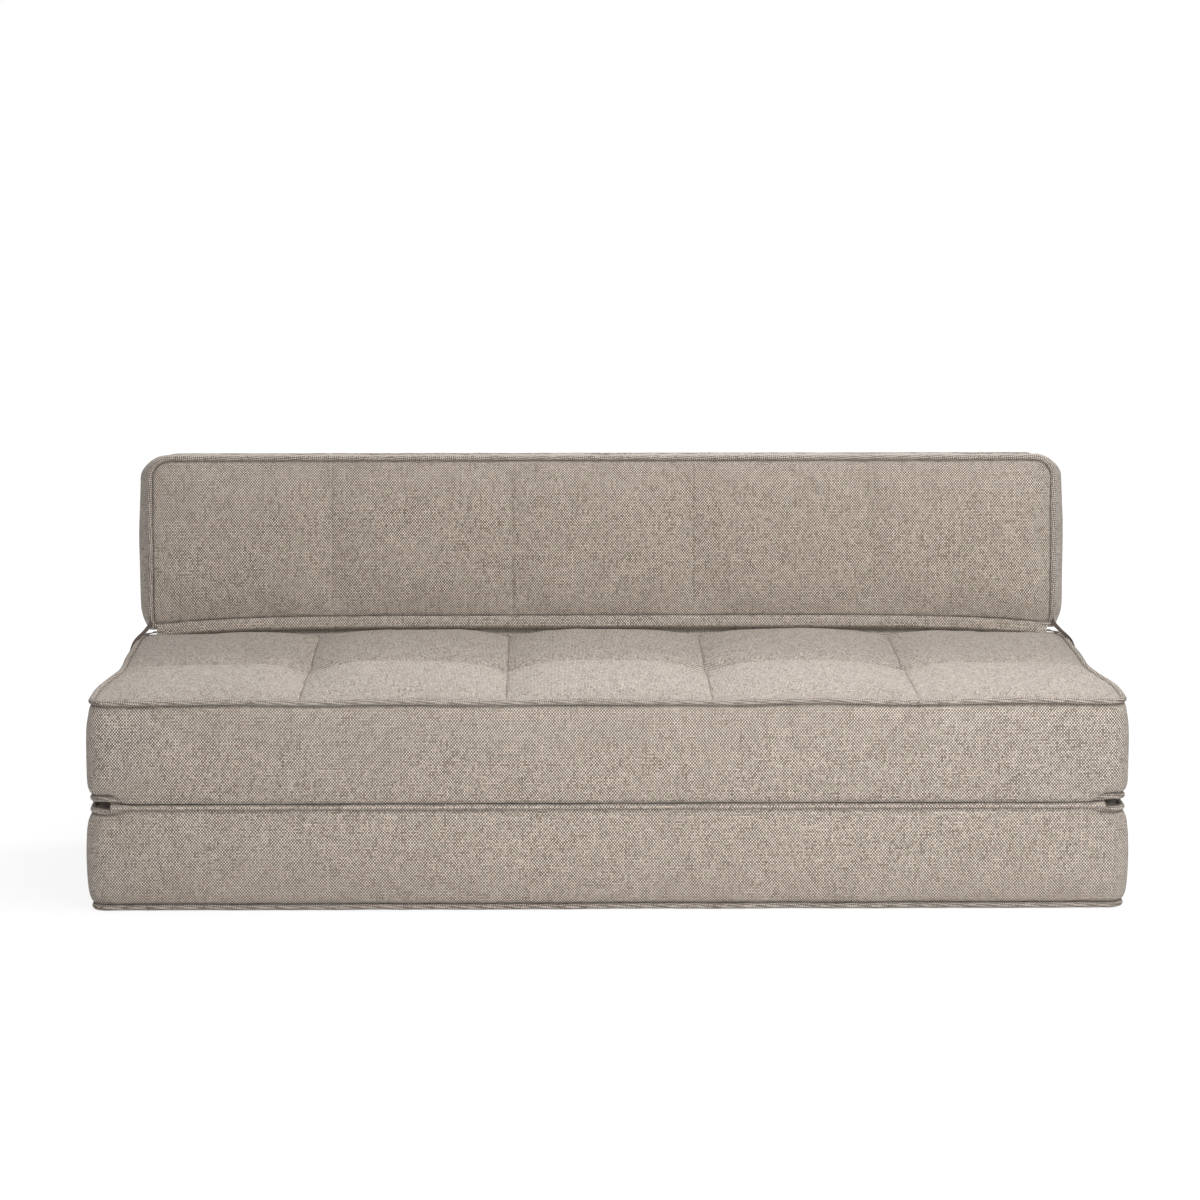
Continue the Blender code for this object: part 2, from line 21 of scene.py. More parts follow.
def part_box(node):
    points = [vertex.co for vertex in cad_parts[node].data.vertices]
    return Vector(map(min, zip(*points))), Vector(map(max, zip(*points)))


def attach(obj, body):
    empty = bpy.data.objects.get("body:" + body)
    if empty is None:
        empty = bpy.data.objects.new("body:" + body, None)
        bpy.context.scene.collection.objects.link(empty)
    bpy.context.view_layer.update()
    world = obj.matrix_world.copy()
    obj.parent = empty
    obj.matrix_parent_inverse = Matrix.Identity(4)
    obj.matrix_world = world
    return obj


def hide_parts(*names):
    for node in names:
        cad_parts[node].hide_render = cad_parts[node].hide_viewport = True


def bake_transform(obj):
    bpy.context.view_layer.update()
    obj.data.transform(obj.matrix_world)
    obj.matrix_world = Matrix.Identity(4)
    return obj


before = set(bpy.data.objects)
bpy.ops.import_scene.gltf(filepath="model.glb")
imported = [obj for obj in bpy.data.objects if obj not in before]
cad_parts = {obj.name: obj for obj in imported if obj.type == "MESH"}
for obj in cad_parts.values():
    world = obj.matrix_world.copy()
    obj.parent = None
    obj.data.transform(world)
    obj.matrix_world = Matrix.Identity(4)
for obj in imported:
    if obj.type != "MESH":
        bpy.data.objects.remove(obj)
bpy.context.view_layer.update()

bl_info = {
    "name": "Armless Sofa Bed",
    "version": (1, 0, 0),
    "blender": (4, 5, 0),
    "location": "View3D > Sidebar > Sofa Bed",
    "description": "Makes the cloth, cords, filling and zips of an armless sofa bed",
    "category": "Object",
}

CLOTH_MAP = "cloth"


def length(name, description, default):
    return FloatProperty(name=name, description=description, default=default, min=0.0,
                         unit="LENGTH", precision=4)


def share(name, description, default):
    return FloatProperty(name=name, description=description, default=default, precision=3)


def colour(name, description, default):
    return FloatVectorProperty(name=name, description=description, default=default, size=3,
                               min=0.0, max=1.0, subtype="COLOR")


class SofaBedSizes(PropertyGroup):
    """Sizes of the covers, as sewn"""

    cord_radius: length("Cord radius", "Radius of the covered cord along the seams", 0.0055)
    cloth: length("Cloth", "Thickness of the upholstery cloth", 0.002)
    corner_radius: length("Corner radius", "Plan radius of the base and seat's corners", 0.028)
    back_corner_radius: length("Back corner radius", "Radius of the back's corners", 0.040)
    stretch: length("End stretch", "How far foam stretches the base and seat's ends", 0.0075)
    side_bulge: length("Side bulge", "Swelling of a seat or base block's ends", 0.0108)
    front_bulge: length("Front bulge", "Swelling of their front and rear", 0.011)
    back_side_bulge: length("Back end bulge", "Swelling of the back block's ends", 0.026)
    back_edge_bulge: length("Back edge bulge", "Swelling of its top and bottom edges", 0.0005)
    crown: length("Crown", "Rise of a plain face over its seams", 0.0086)
    seat_puff: length("Seat puff", "Rise of the seat's quilted panels", 0.0195)
    back_puff: length("Back puff", "Rise of the back's quilted panels", 0.007)
    tuft_depth: length("Tuft depth", "Depth of the tufts where quilting seams cross", 0.0205)
    tuft_spread: length("Tuft spread", "Reach of a tuft", 0.050)
    seam_draw: length("Seam draw", "Pull of a quilting seam on the cover's edge", 0.003)
    taper: length("Seat taper", "Narrowing of the seat's top towards the rear, a side", 0.021)
    corner_droop: length("Corner droop", "Sag of the back's lower corners", 0.018)
    tuck_width: length("Tuck width", "Width of the lapped quilting seams", 0.013)
    tuck_height: length("Tuck height", "Rise of the lapped quilting seams", 0.0018)
    pucker: length("Pucker", "Height of the small folds beside a seam", 0.0012)
    lump: length("Lump", "Unevenness of the filling under the cloth", 0.0016)
    sway: length("Seam sway", "Waviness of the corded seams", 0.0016)
    zip_length: length("Zip length", "Length of each cover's zip", 1.6)
    zip_width: length("Zip width", "Width of the zip's tape", 0.024)


class SofaBedColours(PropertyGroup):
    """Colours of the cloths and fittings"""

    yarn_light: colour("Light yarn", "Palest yarns of the cloth", (0.96, 0.862, 0.766))
    yarn_middle: colour("Middle yarn", "Usual yarns of the cloth", (0.515, 0.418, 0.340))
    yarn_dark: colour("Dark yarn", "Darkest yarns of the cloth", (0.10, 0.069, 0.045))
    lining: colour("Lining", "Spun-bonded underside lining", (0.10, 0.09, 0.085))
    foam: colour("Foam", "Cut polyurethane foam", (0.85, 0.78, 0.52))
    fleece: colour("Fleece", "Fibre wadding", (0.86, 0.86, 0.84))
    webbing: colour("Webbing", "Narrow webbing of the corner straps", (0.15, 0.12, 0.098))
    zip_tape: colour("Zip tape", "Woven zip tape", (0.22, 0.19, 0.16))
    zip_metal: colour("Zip metal", "Plated slider", (0.45, 0.43, 0.40))


class SofaBedWeave(PropertyGroup):
    """Scale and contrast of the upholstery cloth"""

    warp_pitch: length("Warp pitch", "Distance between upright yarns", 0.00265)
    weft_pitch: length("Weft pitch", "Distance between level yarns", 0.00315)
    wander: length("Wander", "How far yarns stray from straight", 0.0003)
    yarn_relief: length("Yarn relief", "Height of a yarn over the gaps", 0.0007)
    check: share("Check", "Difference in tone between the warp and the weft", 1.25)
    gap_shade: share("Gap shade", "Brightness at the bottom of the gaps", 0.18)
    # painted shade: the cords wear the panels' cloth made darker by this share
    cord_shade: share("Cord shade", "Brightness of the cords beside that of the panels", 0.87)


def sizes():
    return bpy.context.scene.sofa_bed_sizes


def colours():
    return bpy.context.scene.sofa_bed_colours


def weave():
    return bpy.context.scene.sofa_bed_weave


# Foam blocks

BACK_RECLINE = math.radians(5)
COLUMNS = 5
SEAT_ROWS = 2
TAPER_START = 0.10
TAPER_END = 0.36
CROWN_FULLNESS = 6
CELL_FULLNESS = 2.5
CELL_STEEPNESS = 0.6
LOWER_CORNERS = {"base": 0.0, "seat": 0.0, "back": 0.65}
FACES = {"base": ("top", "bottom"), "seat": ("top", "bottom"), "back": ("front", "rear")}
CREST_LEAN = 0.45
END_DROOP = 0.58
EARLY_DROOP = 0.6
DROOP_POWER = 6
BACK_STRETCH = 0.0015
CLEARANCE = 0.0003
HALF_LINING = 0.0015
WALL_FULLNESS = {
    # block: upper half of its ends, lower half, upper half of its front and rear
    "base": (7.0, 6.0, 7.0), "seat": (3.6, 7.0, 8.0), "back": (2.6, 2.6, 2.6),
}
WALL_STEEPNESS = 0.75
WALL_SAG = 0.10
# the seam that the front band is sewn over, and how far it draws the side wall out and over
BAND_SIDES = {"base": 1, "seat": -1, "back": 0}
COVER_REACH = {"base": 0.0088, "seat": 0.0102, "back": 0.0}
COVER_DROP = {"base": 0.0076, "seat": 0.0108, "back": 0.0}
BAND_LIFT = 0.0030
BAND_LEVELLING = 0.6
SEAM_DIP = 0.0026
FLOOR_SWAY = 0.7
TOP_SWAY_SPAN = 0.16
BOTTOM_SWAY_SPAN = 0.14
FRONT_REACH = 0.06
FRONT_FADE = 0.03
BARE_CORD = 0.022
BASE_LIFT_SHARE = 0.5
NOISE_GAIN = 1.6
SAME = 1e-6


def vertex_places(mesh):
    """The places of a mesh's vertices, one row each."""
    flat = np.empty(len(mesh.vertices) * 3, np.float32)
    mesh.vertices.foreach_get("co", flat)
    return flat.reshape(-1, 3)


def same(values, place):
    """Where grid values are at a place, apart from rounding."""
    return np.abs(values - place) < SAME


def smooth_step(value):
    value = np.clip(value, 0.0, 1.0)
    return value * value * (3 - 2 * value)


def wave(x, y, scale, seed):
    """Smooth noise from -1 to 1 over arrays of places, with features about scale across."""
    x, y = np.broadcast_arrays(x, y)
    flat = zip(np.ravel(x) / scale, np.ravel(y) / scale)
    values = [noise.noise(Vector((a, b, seed))) for a, b in flat]
    return np.array(values).reshape(np.shape(x)) * NOISE_GAIN


class Block:
    """A foam block in its own frame: X along its width, Z through its thickness."""

    def __init__(self, name, tilt, radius, stretch, side_bulge, end_bulge, seed,
                 rows=1, taper=0.0, lean=0.0, droop=0.0):
        self.name = name
        self.lean = lean
        self.droop = droop
        self.lower_corner = LOWER_CORNERS[name]
        self.radius = radius
        self.side_bulge = side_bulge
        self.end_bulge = end_bulge
        self.rows = rows
        self.taper = taper
        self.seed = seed
        turn = Matrix.Rotation(tilt, 4, "X")
        cords = [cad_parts[f"{name}_{face}_piping"].data for face in FACES[name]]
        points = np.vstack([vertex_places(cord).astype(float) for cord in cords])
        points = points @ np.array(turn.to_3x3())
        low, high = points.min(axis=0), points.max(axis=0)
        self.half_x, self.half_y, self.half_z = (high - low) / 2 - sizes().cord_radius
        self.half_x = self.half_x + stretch
        self.matrix = turn @ Matrix.Translation(Vector((low + high) / 2))
        self.pitch_x = 2 * self.half_x / COLUMNS
        self.pitch_y = 2 * self.half_y / rows
        self.room = sizes().cord_radius + CLEARANCE

    def face_size(self):
        """Width and depth of a face between its seams, as cut."""
        return 2 * (self.half_x - self.room), 2 * (self.half_y - self.room)

    def spaced(self, step, columns=(), rows=()):
        """Grid lines both ways, closer at the corners and at the given seams."""
        return (spaced_lines(self.half_x, self.radius, step, columns),
                spaced_lines(self.half_y, self.radius, step, rows))

    def even(self):
        """Evenly spaced grid lines both ways, for the cloth simulation."""
        return even_lines(self.half_x, self.pitch_x), even_lines(self.half_y, self.pitch_y)

    def corner_parts(self, x, y):
        """How far a place lies into a corner, each way: zero on the flat and one at the edge."""
        a = np.clip(np.abs(x) - self.half_x + self.radius, 0.0, None) / self.radius
        b = np.clip(np.abs(y) - self.half_y + self.radius, 0.0, None) / self.radius
        return a, b

    def place(self, x, y, inset, draw=0.0, taper=0.0):
        """A grid point's place in plan, on an outline with round corners drawn in by inset."""
        radius = self.radius
        a, b = self.corner_parts(x, y)
        round_off = np.where(y < 0, 0.5 - 0.5 * self.lower_corner, 0.5)
        across = a * np.sqrt(1 - round_off * b * b)
        along = b * np.sqrt(1 - round_off * a * a)
        place_x = np.minimum(np.abs(x), self.half_x - radius) + across * (radius - inset)
        place_y = np.minimum(np.abs(y), self.half_y - radius) + along * (radius - inset)
        place_x = place_x - a * draw * self.seam_end(y, self.half_y, self.pitch_y)
        place_y = place_y - b * draw * self.seam_end(x, self.half_x, self.pitch_x)
        sag = self.droop * np.abs(x / self.half_x) ** DROOP_POWER
        place_y = place_y + sag * smooth_step(-y / self.half_y)
        inner_seam = self.half_x - self.pitch_x
        part = np.clip(np.abs(x) - inner_seam, 0.0, None) / self.pitch_x
        ramp = (y + self.half_y - TAPER_START) / (TAPER_END - TAPER_START)
        place_x = place_x - taper * part * smooth_step(ramp)
        return np.copysign(place_x, x), np.copysign(place_y, y)

    def top_only(self, side, value):
        """Value on the seat's quilted top, and nothing on any other face."""
        return value if side > 0 and self.rows > 1 else 0.0

    def seam_end(self, value, half, pitch):
        """One where a quilting seam meets the edge, falling to nothing between the seams."""
        near = (0.5 + 0.5 * np.cos(2 * math.pi * (value + half) / pitch)) ** 2
        return np.where(np.abs(value) > half - pitch / 2, 0.0, near)

    def bulge(self, x, y, level):
        """The side wall's swelling beyond the seam; level runs from -1 to 1 between seams."""
        sagged = level + WALL_SAG * (1 - level * level)
        a, b = self.corner_parts(x, y)
        frontal = b * b / np.maximum(a * a + b * b, 1e-9)
        upper, lower, upper_front = WALL_FULLNESS[self.name]
        fullness = np.where(sagged > 0, upper + (upper_front - upper) * frontal, lower)
        rise = np.clip(1 - np.abs(sagged) ** fullness, 0.0, None) ** WALL_STEEPNESS
        return rise * (self.side_bulge + (self.end_bulge - self.side_bulge) * frontal)

    def sway(self, x, y, level):
        """How far a corded seam strays up or down; the seat's top seam dips at the quilting."""
        level = np.asarray(level, float)
        upper = sizes().sway * wave(x, y, TOP_SWAY_SPAN, self.seed + 3.1)
        lower = sizes().sway * wave(x, y, BOTTOM_SWAY_SPAN, self.seed - 5.7)
        stray = np.where(level > 0, upper, lower)
        at_front = smooth_step((-y - self.half_y + FRONT_REACH) / FRONT_FADE)
        beyond_band = np.exp(-((np.abs(x) - self.half_x + BARE_CORD) / BARE_CORD) ** 2)
        at_band = np.clip(BAND_SIDES[self.name] * level, 0.0, 1.0) * at_front
        stray = stray * (1 - BAND_LEVELLING * at_band)
        if self.name == "seat":
            ends = self.seam_end(x, self.half_x, self.pitch_x)
            stray = stray - SEAM_DIP * ends * np.clip(level, 0.0, 1.0)
            stray = stray + BAND_LIFT * at_front * beyond_band * np.clip(-level, 0.0, 1.0)
        if self.name == "base":
            stray = np.where(level < 0, np.abs(stray) * FLOOR_SWAY, stray)
            lift = BASE_LIFT_SHARE * BAND_LIFT
            stray = stray - lift * at_front * beyond_band * np.clip(level, 0.0, 1.0)
        return stray * np.abs(level)

    def plain_face(self, x, y):
        dome_x = 1 - np.abs(x / self.half_x) ** CROWN_FULLNESS
        dome_y = 1 - np.abs(y / self.half_y) ** CROWN_FULLNESS
        return sizes().crown * dome_x * dome_y

    def cell_dome(self, value, half, pitch, lean=0.0):
        """Zero on a quilting seam or edge and one at a cell's crest, which may lie off centre."""
        value = np.clip(value, SAME - half, half - SAME)
        across = 2 * (((value + half) / pitch) % 1.0) - 1
        across = np.where(across > lean, (across - lean) / (1 - lean), (across - lean) / (1 + lean))
        return (1 - np.abs(across) ** CELL_FULLNESS) ** CELL_STEEPNESS

    def column_seams(self):
        return [column * self.pitch_x - self.half_x for column in range(1, COLUMNS)]

    def row_seams(self):
        return [row * self.pitch_y - self.half_y for row in range(1, self.rows)]

    def quilting(self, x, y):
        """Each quilting seam's place, and the distances of grid places from it and along it."""
        for seam in self.column_seams():
            yield seam, x - seam, y
        for seam in self.row_seams():
            yield seam, y - seam, x

    def quilted_face(self, x, y):
        """Height of a quilted face over its seams, with a tuft where inner seams cross."""
        height = sizes().seat_puff if self.rows > 1 else sizes().back_puff
        height = height * self.cell_dome(x, self.half_x, self.pitch_x)
        height = height * self.cell_dome(y, self.half_y, self.pitch_y, self.lean)
        if self.rows > 1:
            end = np.clip(np.abs(x) - self.half_x + self.pitch_x, 0.0, None) / self.pitch_x
            height = height * (1 - END_DROOP * end * (1 + EARLY_DROOP * (1 - end)))
        for tuft_x in self.column_seams():
            for tuft_y in self.row_seams():
                reach = ((x - tuft_x) ** 2 + (y - tuft_y) ** 2) / sizes().tuft_spread ** 2
                height = height - sizes().tuft_depth * np.exp(-reach)
        return height


def blocks():
    """The base, the seat and the back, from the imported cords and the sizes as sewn."""
    sewn = sizes()
    flat = (0.0, sewn.corner_radius, sewn.stretch, sewn.side_bulge, sewn.front_bulge)
    upright = (math.pi / 2 - BACK_RECLINE, sewn.back_corner_radius, BACK_STRETCH,
               sewn.back_side_bulge, sewn.back_edge_bulge)
    return (Block("base", *flat, seed=11.3),
            Block("seat", *flat, seed=27.9, rows=SEAT_ROWS, taper=sewn.taper, lean=CREST_LEAN),
            Block("back", *upright, seed=43.7, droop=sewn.corner_droop))


# Grids

SEAM_OFFSETS = (-0.0150, -0.0115, -0.0080, -0.0045, -0.0020, -0.0006, 0.0,
                0.0006, 0.0012, 0.0018, 0.0026, 0.0042, 0.0070)
CORNER_LINES = 7
SETTLE_STEP = 0.013


def spaced_lines(half, radius, step, seams=()):
    """Grid lines from edge to edge, about step apart, and closer at the corners and seams."""
    flat = half - radius
    middle = np.linspace(-flat, flat, max(2, round(2 * flat / step)) + 1)
    corner = np.linspace(0.0, 1.0, CORNER_LINES + 1)[1:] * radius
    near = [seam + offset for seam in seams for offset in SEAM_OFFSETS]
    taken = np.array(near) if near else np.empty(0)
    kept = [line for line in middle if not len(taken) or np.abs(taken - line).min() > step / 3]
    return np.array(sorted([*kept, *near, *(flat + corner), *(-flat - corner)]))


def even_lines(half, pitch):
    """Grid lines from edge to edge, evenly spaced, with one on every quilting seam."""
    cells = round(2 * half / pitch)
    return np.linspace(-half, half, cells * max(2, round(pitch / SETTLE_STEP)) + 1)


def crossed(lines_u, lines_v):
    """Both coordinates of every crossing of two sets of lines."""
    return np.meshgrid(lines_u, lines_v, indexing="ij")


@contextmanager
def editing(mesh):
    """Opens a mesh for the bmesh tools and writes the result back to it."""
    bm = bmesh.new()
    bm.from_mesh(mesh)
    yield bm
    bm.to_mesh(mesh)
    bm.free()


def link_new(name, data):
    """A new object in the scene."""
    item = bpy.data.objects.new(name, data)
    bpy.context.scene.collection.objects.link(item)
    return item


def unit(vectors):
    """Vectors scaled to a length of one."""
    return vectors / np.maximum(np.linalg.norm(vectors, axis=-1, keepdims=True), 1e-9)


def bare_mesh(name, points):
    """A mesh of a grid of points, and the row and column number of each of its vertices."""
    last_u, last_v = points.shape[0] - 1, points.shape[1] - 1
    mesh = bpy.data.meshes.new(name)
    with editing(mesh) as bm:
        bmesh.ops.create_grid(bm, x_segments=last_u, y_segments=last_v, size=1.0)
    flat = (vertex_places(mesh) + 1) / 2
    i = np.rint(flat[:, 0] * last_u).astype(int)
    j = np.rint(flat[:, 1] * last_v).astype(int)
    mesh.vertices.foreach_set("co", points[i, j].astype(np.float32).ravel())
    mesh.update()
    return mesh, i, j


def grid_mesh(name, points, places, closed=False):
    """A mesh of a grid of points, with each point's place on the flat cloth as its map."""
    mesh, i, j = bare_mesh(name, points)
    corner = np.empty(len(mesh.loops), np.int32)
    mesh.loops.foreach_get("vertex_index", corner)
    layer = mesh.uv_layers.new(name=CLOTH_MAP)
    layer.uv.foreach_set("vector", places[i[corner], j[corner]].astype(np.float32).ravel())
    if closed:
        with editing(mesh) as bm:
            bmesh.ops.remove_doubles(bm, verts=bm.verts, dist=1e-6)
    mesh.shade_smooth()
    mesh.update()
    return mesh


def resample(values, old, new):
    """Cubic interpolation along the first axis, from old lines to new ones."""
    at = np.clip(np.searchsorted(old, new) - 1, 0, len(old) - 2)
    t = ((new - old[at]) / (old[at + 1] - old[at])).reshape(-1, *[1] * (values.ndim - 1))
    before, here = values[np.maximum(at - 1, 0)], values[at]
    after, beyond = values[at + 1], values[np.minimum(at + 2, len(old) - 1)]
    bend = 2 * before - 5 * here + 4 * after - beyond
    twist = 3 * (here - after) + beyond - before
    return here + t / 2 * (after - before + t * (bend + t * twist))


def resample_grid(values, old, new):
    """The same along both axes, from a pair of old lines to a pair of new ones."""
    values = resample(values, old[0], new[0]).swapaxes(0, 1)
    return resample(values, old[1], new[1]).swapaxes(0, 1)


def path_length(points):
    """Distance along a row of points, from its first."""
    steps = np.linalg.norm(np.diff(points, axis=0), axis=1)
    return np.concatenate([[0.0], np.cumsum(steps)])


# Cloth settling

SETTLE_FRAMES = 20
CLOTH_GIVE = 0.005
CLOTH_SETTINGS = {
    "quality": 6, "mass": 0.3, "tension_stiffness": 25.0, "compression_stiffness": 25.0,
    "shear_stiffness": 12.0, "bending_stiffness": 1.2, "shrink_min": -0.006,
    "use_pressure": True, "uniform_pressure_force": 2.5, "vertex_group_mass": "sewn",
}


def settle(points, outward, sewn):
    """How far each point of a sewn cloth moves as the filling presses it outward."""
    mesh, i, j = bare_mesh("settling", points)
    sample = link_new("settling", mesh)
    group = sample.vertex_groups.new(name="sewn")
    group.add(np.flatnonzero(sewn[i, j]).tolist(), 1.0, "REPLACE")
    cloth = sample.modifiers.new("cloth", "CLOTH")
    for key, value in CLOTH_SETTINGS.items():
        setattr(cloth.settings, key, value)
    cloth.settings.effector_weights.gravity = 0.0
    cloth.point_cache.frame_start = 1
    cloth.point_cache.frame_end = SETTLE_FRAMES
    scene = bpy.context.scene
    for number in range(1, SETTLE_FRAMES + 1):
        scene.frame_set(number)
    evaluated = sample.evaluated_get(bpy.context.evaluated_depsgraph_get())
    moved = np.zeros_like(points)
    moved[i, j] = vertex_places(evaluated.data) - points[i, j]
    bpy.data.objects.remove(sample)
    bpy.data.meshes.remove(mesh)
    scene.frame_set(1)
    distance = np.linalg.norm(moved, axis=-1, keepdims=True)
    moved = moved * CLOTH_GIVE * np.tanh(distance / CLOTH_GIVE) / np.maximum(distance, 1e-9)
    inward = np.clip(np.sum(moved * outward, axis=-1, keepdims=True), None, 0.0)
    return moved - outward * inward


# Pieces

BOLT_PLACES = {
    # how far along one long bolt of cloth a piece is cut, so that no two show the same yarns
    "base_top_cover": 3.0, "seat_top_cover": 7.0, "seat_underside_cover": 11.0,
    "back_front_cover": 15.0, "back_rear_cover": 19.0,
    "base_boxing": 23.0, "seat_boxing": 31.0, "back_boxing": 39.0,
    "base_top_cord": 47.0, "base_bottom_cord": 55.0, "seat_top_cord": 63.0,
    "seat_bottom_cord": 71.0, "back_front_cord": 79.0, "back_rear_cord": 87.0,
    "front_band": 95.0, "rear_band": 103.0,
}


def add_piece(name, mesh, matrix, finish, body, slot, *nodes):
    """Places a mesh in the frame and has it ride on its body in place of its CAD nodes."""
    mesh.transform(matrix)
    mesh.materials.append(finish)
    piece = link_new(name, mesh)
    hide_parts(*nodes)
    if body:
        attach(piece, body)
    return piece


def thicken(piece, thickness, offset=-1.0):
    """Gives a sheet its thickness, inward from its outer face."""
    solid = piece.modifiers.new("thickness", "SOLIDIFY")
    solid.thickness = thickness
    solid.offset = offset


def round_edges(piece, width):
    """Rounds a piece's sharp edges."""
    rounding = piece.modifiers.new("rounding", "BEVEL")
    rounding.width = width
    rounding.segments = 2


SEAM_SLOPE = 0.0012
GROOVE_WIDTH = 0.0014
SEAM_FOLD_SPAN = 0.013
SEAM_FOLD_REACH = 0.018
EDGE_FOLD_SPAN = 0.014
QUILT_LUMP_SPAN = 0.11
FINE_LUMP_SPAN = 0.035
FINE_LUMP = 0.35
PLAIN_LUMP_SPAN = 0.13
EDGE_BLEND = 0.02
SWAY_REACH = 0.05


def seam_ridge(distance):
    """Cross-section of a lapped seam: the lap rises gently to its fold, beside the stitching."""
    ridge = smooth_step(distance / sizes().tuck_width + 1) * smooth_step(1 - distance / SEAM_SLOPE)
    groove = np.exp(-((distance - SEAM_SLOPE) / GROOVE_WIDTH) ** 2)
    return sizes().tuck_height * (ridge - groove)


def seam_folds(along, distance, seed):
    """Small folds that cross a quilting seam and fade away from it."""
    folds = wave(along, np.sign(distance) * 3.0, SEAM_FOLD_SPAN, seed)
    return sizes().pucker * folds * np.exp(-np.abs(distance) / SEAM_FOLD_REACH)


def quilting_detail(block, x, y):
    """Lapped seams, the puckers beside them and the filling's lumps."""
    height = wave(x, y, QUILT_LUMP_SPAN, block.seed)
    height = height + FINE_LUMP * wave(x, y, FINE_LUMP_SPAN, block.seed + 5)
    height = sizes().lump * height
    for seam, distance, along in block.quilting(x, y):
        folds = seam_folds(along, distance, block.seed + seam)
        height = height + seam_ridge(distance) + folds
    return height


def edge_distance(block, x, y):
    """Distance on the face from its nearest edge, before the corners are rounded."""
    return np.minimum(block.half_x - np.abs(x), block.half_y - np.abs(y))


def edge_puckers(block, x, y, seed):
    """Small folds that run in from a panel's sewn edge."""
    edge_x = block.half_x - np.abs(x)
    edge_y = block.half_y - np.abs(y)
    span = EDGE_FOLD_SPAN
    folds = wave(y, np.sign(x) * 9.0, span, seed) * np.exp(-edge_x / span)
    folds = folds + wave(x, np.sign(y) * 9.0, span, seed + 1) * np.exp(-edge_y / span)
    return sizes().pucker * folds


def face_points(block, side, x, y, quilted):
    """A face of the block as cut and sewn, from seam to seam, in the block's frame."""
    draw, taper = block.top_only(side, sizes().seam_draw), block.top_only(side, block.taper)
    place_x, place_y = block.place(x, y, block.room, draw, taper)
    height = block.quilted_face(x, y) if quilted else block.plain_face(x, y)
    sway = block.sway(x, y, side) * np.exp(-edge_distance(block, x, y) / SWAY_REACH)
    height = side * (block.half_z + HALF_LINING + height) + sway
    return np.stack([place_x, place_y, height], axis=-1)


def settled_face(block, side, quilted):
    """The settling of one face, on its even grid."""
    lines = block.even()
    x, y = crossed(*lines)
    sewn = same(edge_distance(block, x, y), 0.0)
    if quilted:
        for _, distance, _ in block.quilting(x, y):
            sewn |= same(distance, 0.0)
    points = face_points(block, side, x, y, quilted)
    outward = np.zeros_like(points)
    outward[..., 2] = side
    return lines, settle(points[::side], outward[::side], sewn[::side])[::side]


def panel(block, side, name, node, step, quilted=False, shown=True):
    """A cover's top or bottom panel; one that shows is settled by the cloth simulation."""
    seams = (block.column_seams(), block.row_seams()) if quilted else ()
    lines = block.spaced(step, *seams)
    x, y = crossed(*lines)
    points = face_points(block, side, x, y, quilted)
    if shown:
        old_lines, moved = settled_face(block, side, quilted)
        points = points + resample_grid(moved, old_lines, lines)
    inside = smooth_step(edge_distance(block, x, y) / EDGE_BLEND)
    if quilted:
        detail = quilting_detail(block, x, y) * inside
    else:
        lumps = wave(x, y, PLAIN_LUMP_SPAN, block.seed + side)
        detail = sizes().lump * lumps * inside
    detail = detail + edge_puckers(block, x, y, block.seed + 2 * side) * (1 - inside) ** 0.5
    points[..., 2] = points[..., 2] + side * detail
    places = np.stack([x + BOLT_PLACES[name], y], axis=-1)
    mesh = grid_mesh(name, points[::side], places[::side])
    piece = add_piece(name, mesh, block.matrix, panel_cloth(), block.name, "greige_cloth", node)
    thicken(piece, sizes().cloth)
    block.face_size()


def outline(block, lines_x, lines_y):
    """Grid places round the block's edge, anticlockwise from the middle of its rear."""
    rear = [(x, block.half_y) for x in lines_x[::-1]]
    left = [(-block.half_x, y) for y in lines_y[::-1][1:]]
    front = [(x, -block.half_y) for x in lines_x[1:]]
    right = [(block.half_x, y) for y in lines_y[1:-1]]
    loop = np.array(rear + left + front + right)
    middle = int(np.argmin(np.abs(loop[: len(rear), 0])))
    return np.vstack([np.roll(loop, -middle, axis=0), loop[middle]])


WALL_STEP = 0.010
FEWEST_LEVELS = 8
LEVEL_EASE = 0.4
COVER_SPAN = 0.16
COVER_FADE = 0.03
WALL_FOLD_SPAN = 0.016
WALL_FOLD_REACH = 0.10
WALL_FOLD_START = 0.05
WALL_LUMP_SPAN = 0.10
WALL_LUMP_START = 0.3
WALL_LUMP_HEIGHT = 0.09
SMALL_SWELL = 0.001


def band_cover(block, x, y, level):
    """One where the front band draws the side wall over its cord, and zero elsewhere."""
    near = smooth_step((BAND_SIDES[block.name] * level - 1) / COVER_SPAN + 1)
    inside = smooth_step((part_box("front_hinge_band")[1].x - np.abs(x)) / COVER_FADE)
    return near * inside * same(y, -block.half_y)


def wall_points(block, x, y, level, swell=0.0):
    """The side wall's outer face at grid places and levels, swelling out a little more."""
    part = (level + 1) / 2
    cover = band_cover(block, x, y, level)
    swell = block.bulge(x, y, level) + swell + cover * COVER_REACH[block.name]
    plan = block.place(x, y, -swell, 0.0, block.taper * part)
    height = level * (block.half_z - block.room) + block.sway(x, y, level)
    height = height + np.sign(level) * cover * COVER_DROP[block.name]
    return np.stack([*plan, height], axis=-1)


def wall_detail(block, x, y, level):
    """Puckers along the side wall's seams and the filling's lumps between them."""
    along = np.where(same(np.abs(y), block.half_y), x, y + 7.0)
    seam = 1 - np.abs(level)
    folds = wave(along, np.sign(level) * 3.0, WALL_FOLD_SPAN, block.seed + 8)
    folds = folds * np.exp(-seam / WALL_FOLD_REACH) * smooth_step(seam / WALL_FOLD_START)
    lumps = wave(along, level * WALL_LUMP_HEIGHT, WALL_LUMP_SPAN, block.seed + 4)
    return sizes().pucker * folds + sizes().lump * lumps * smooth_step(seam / WALL_LUMP_START)


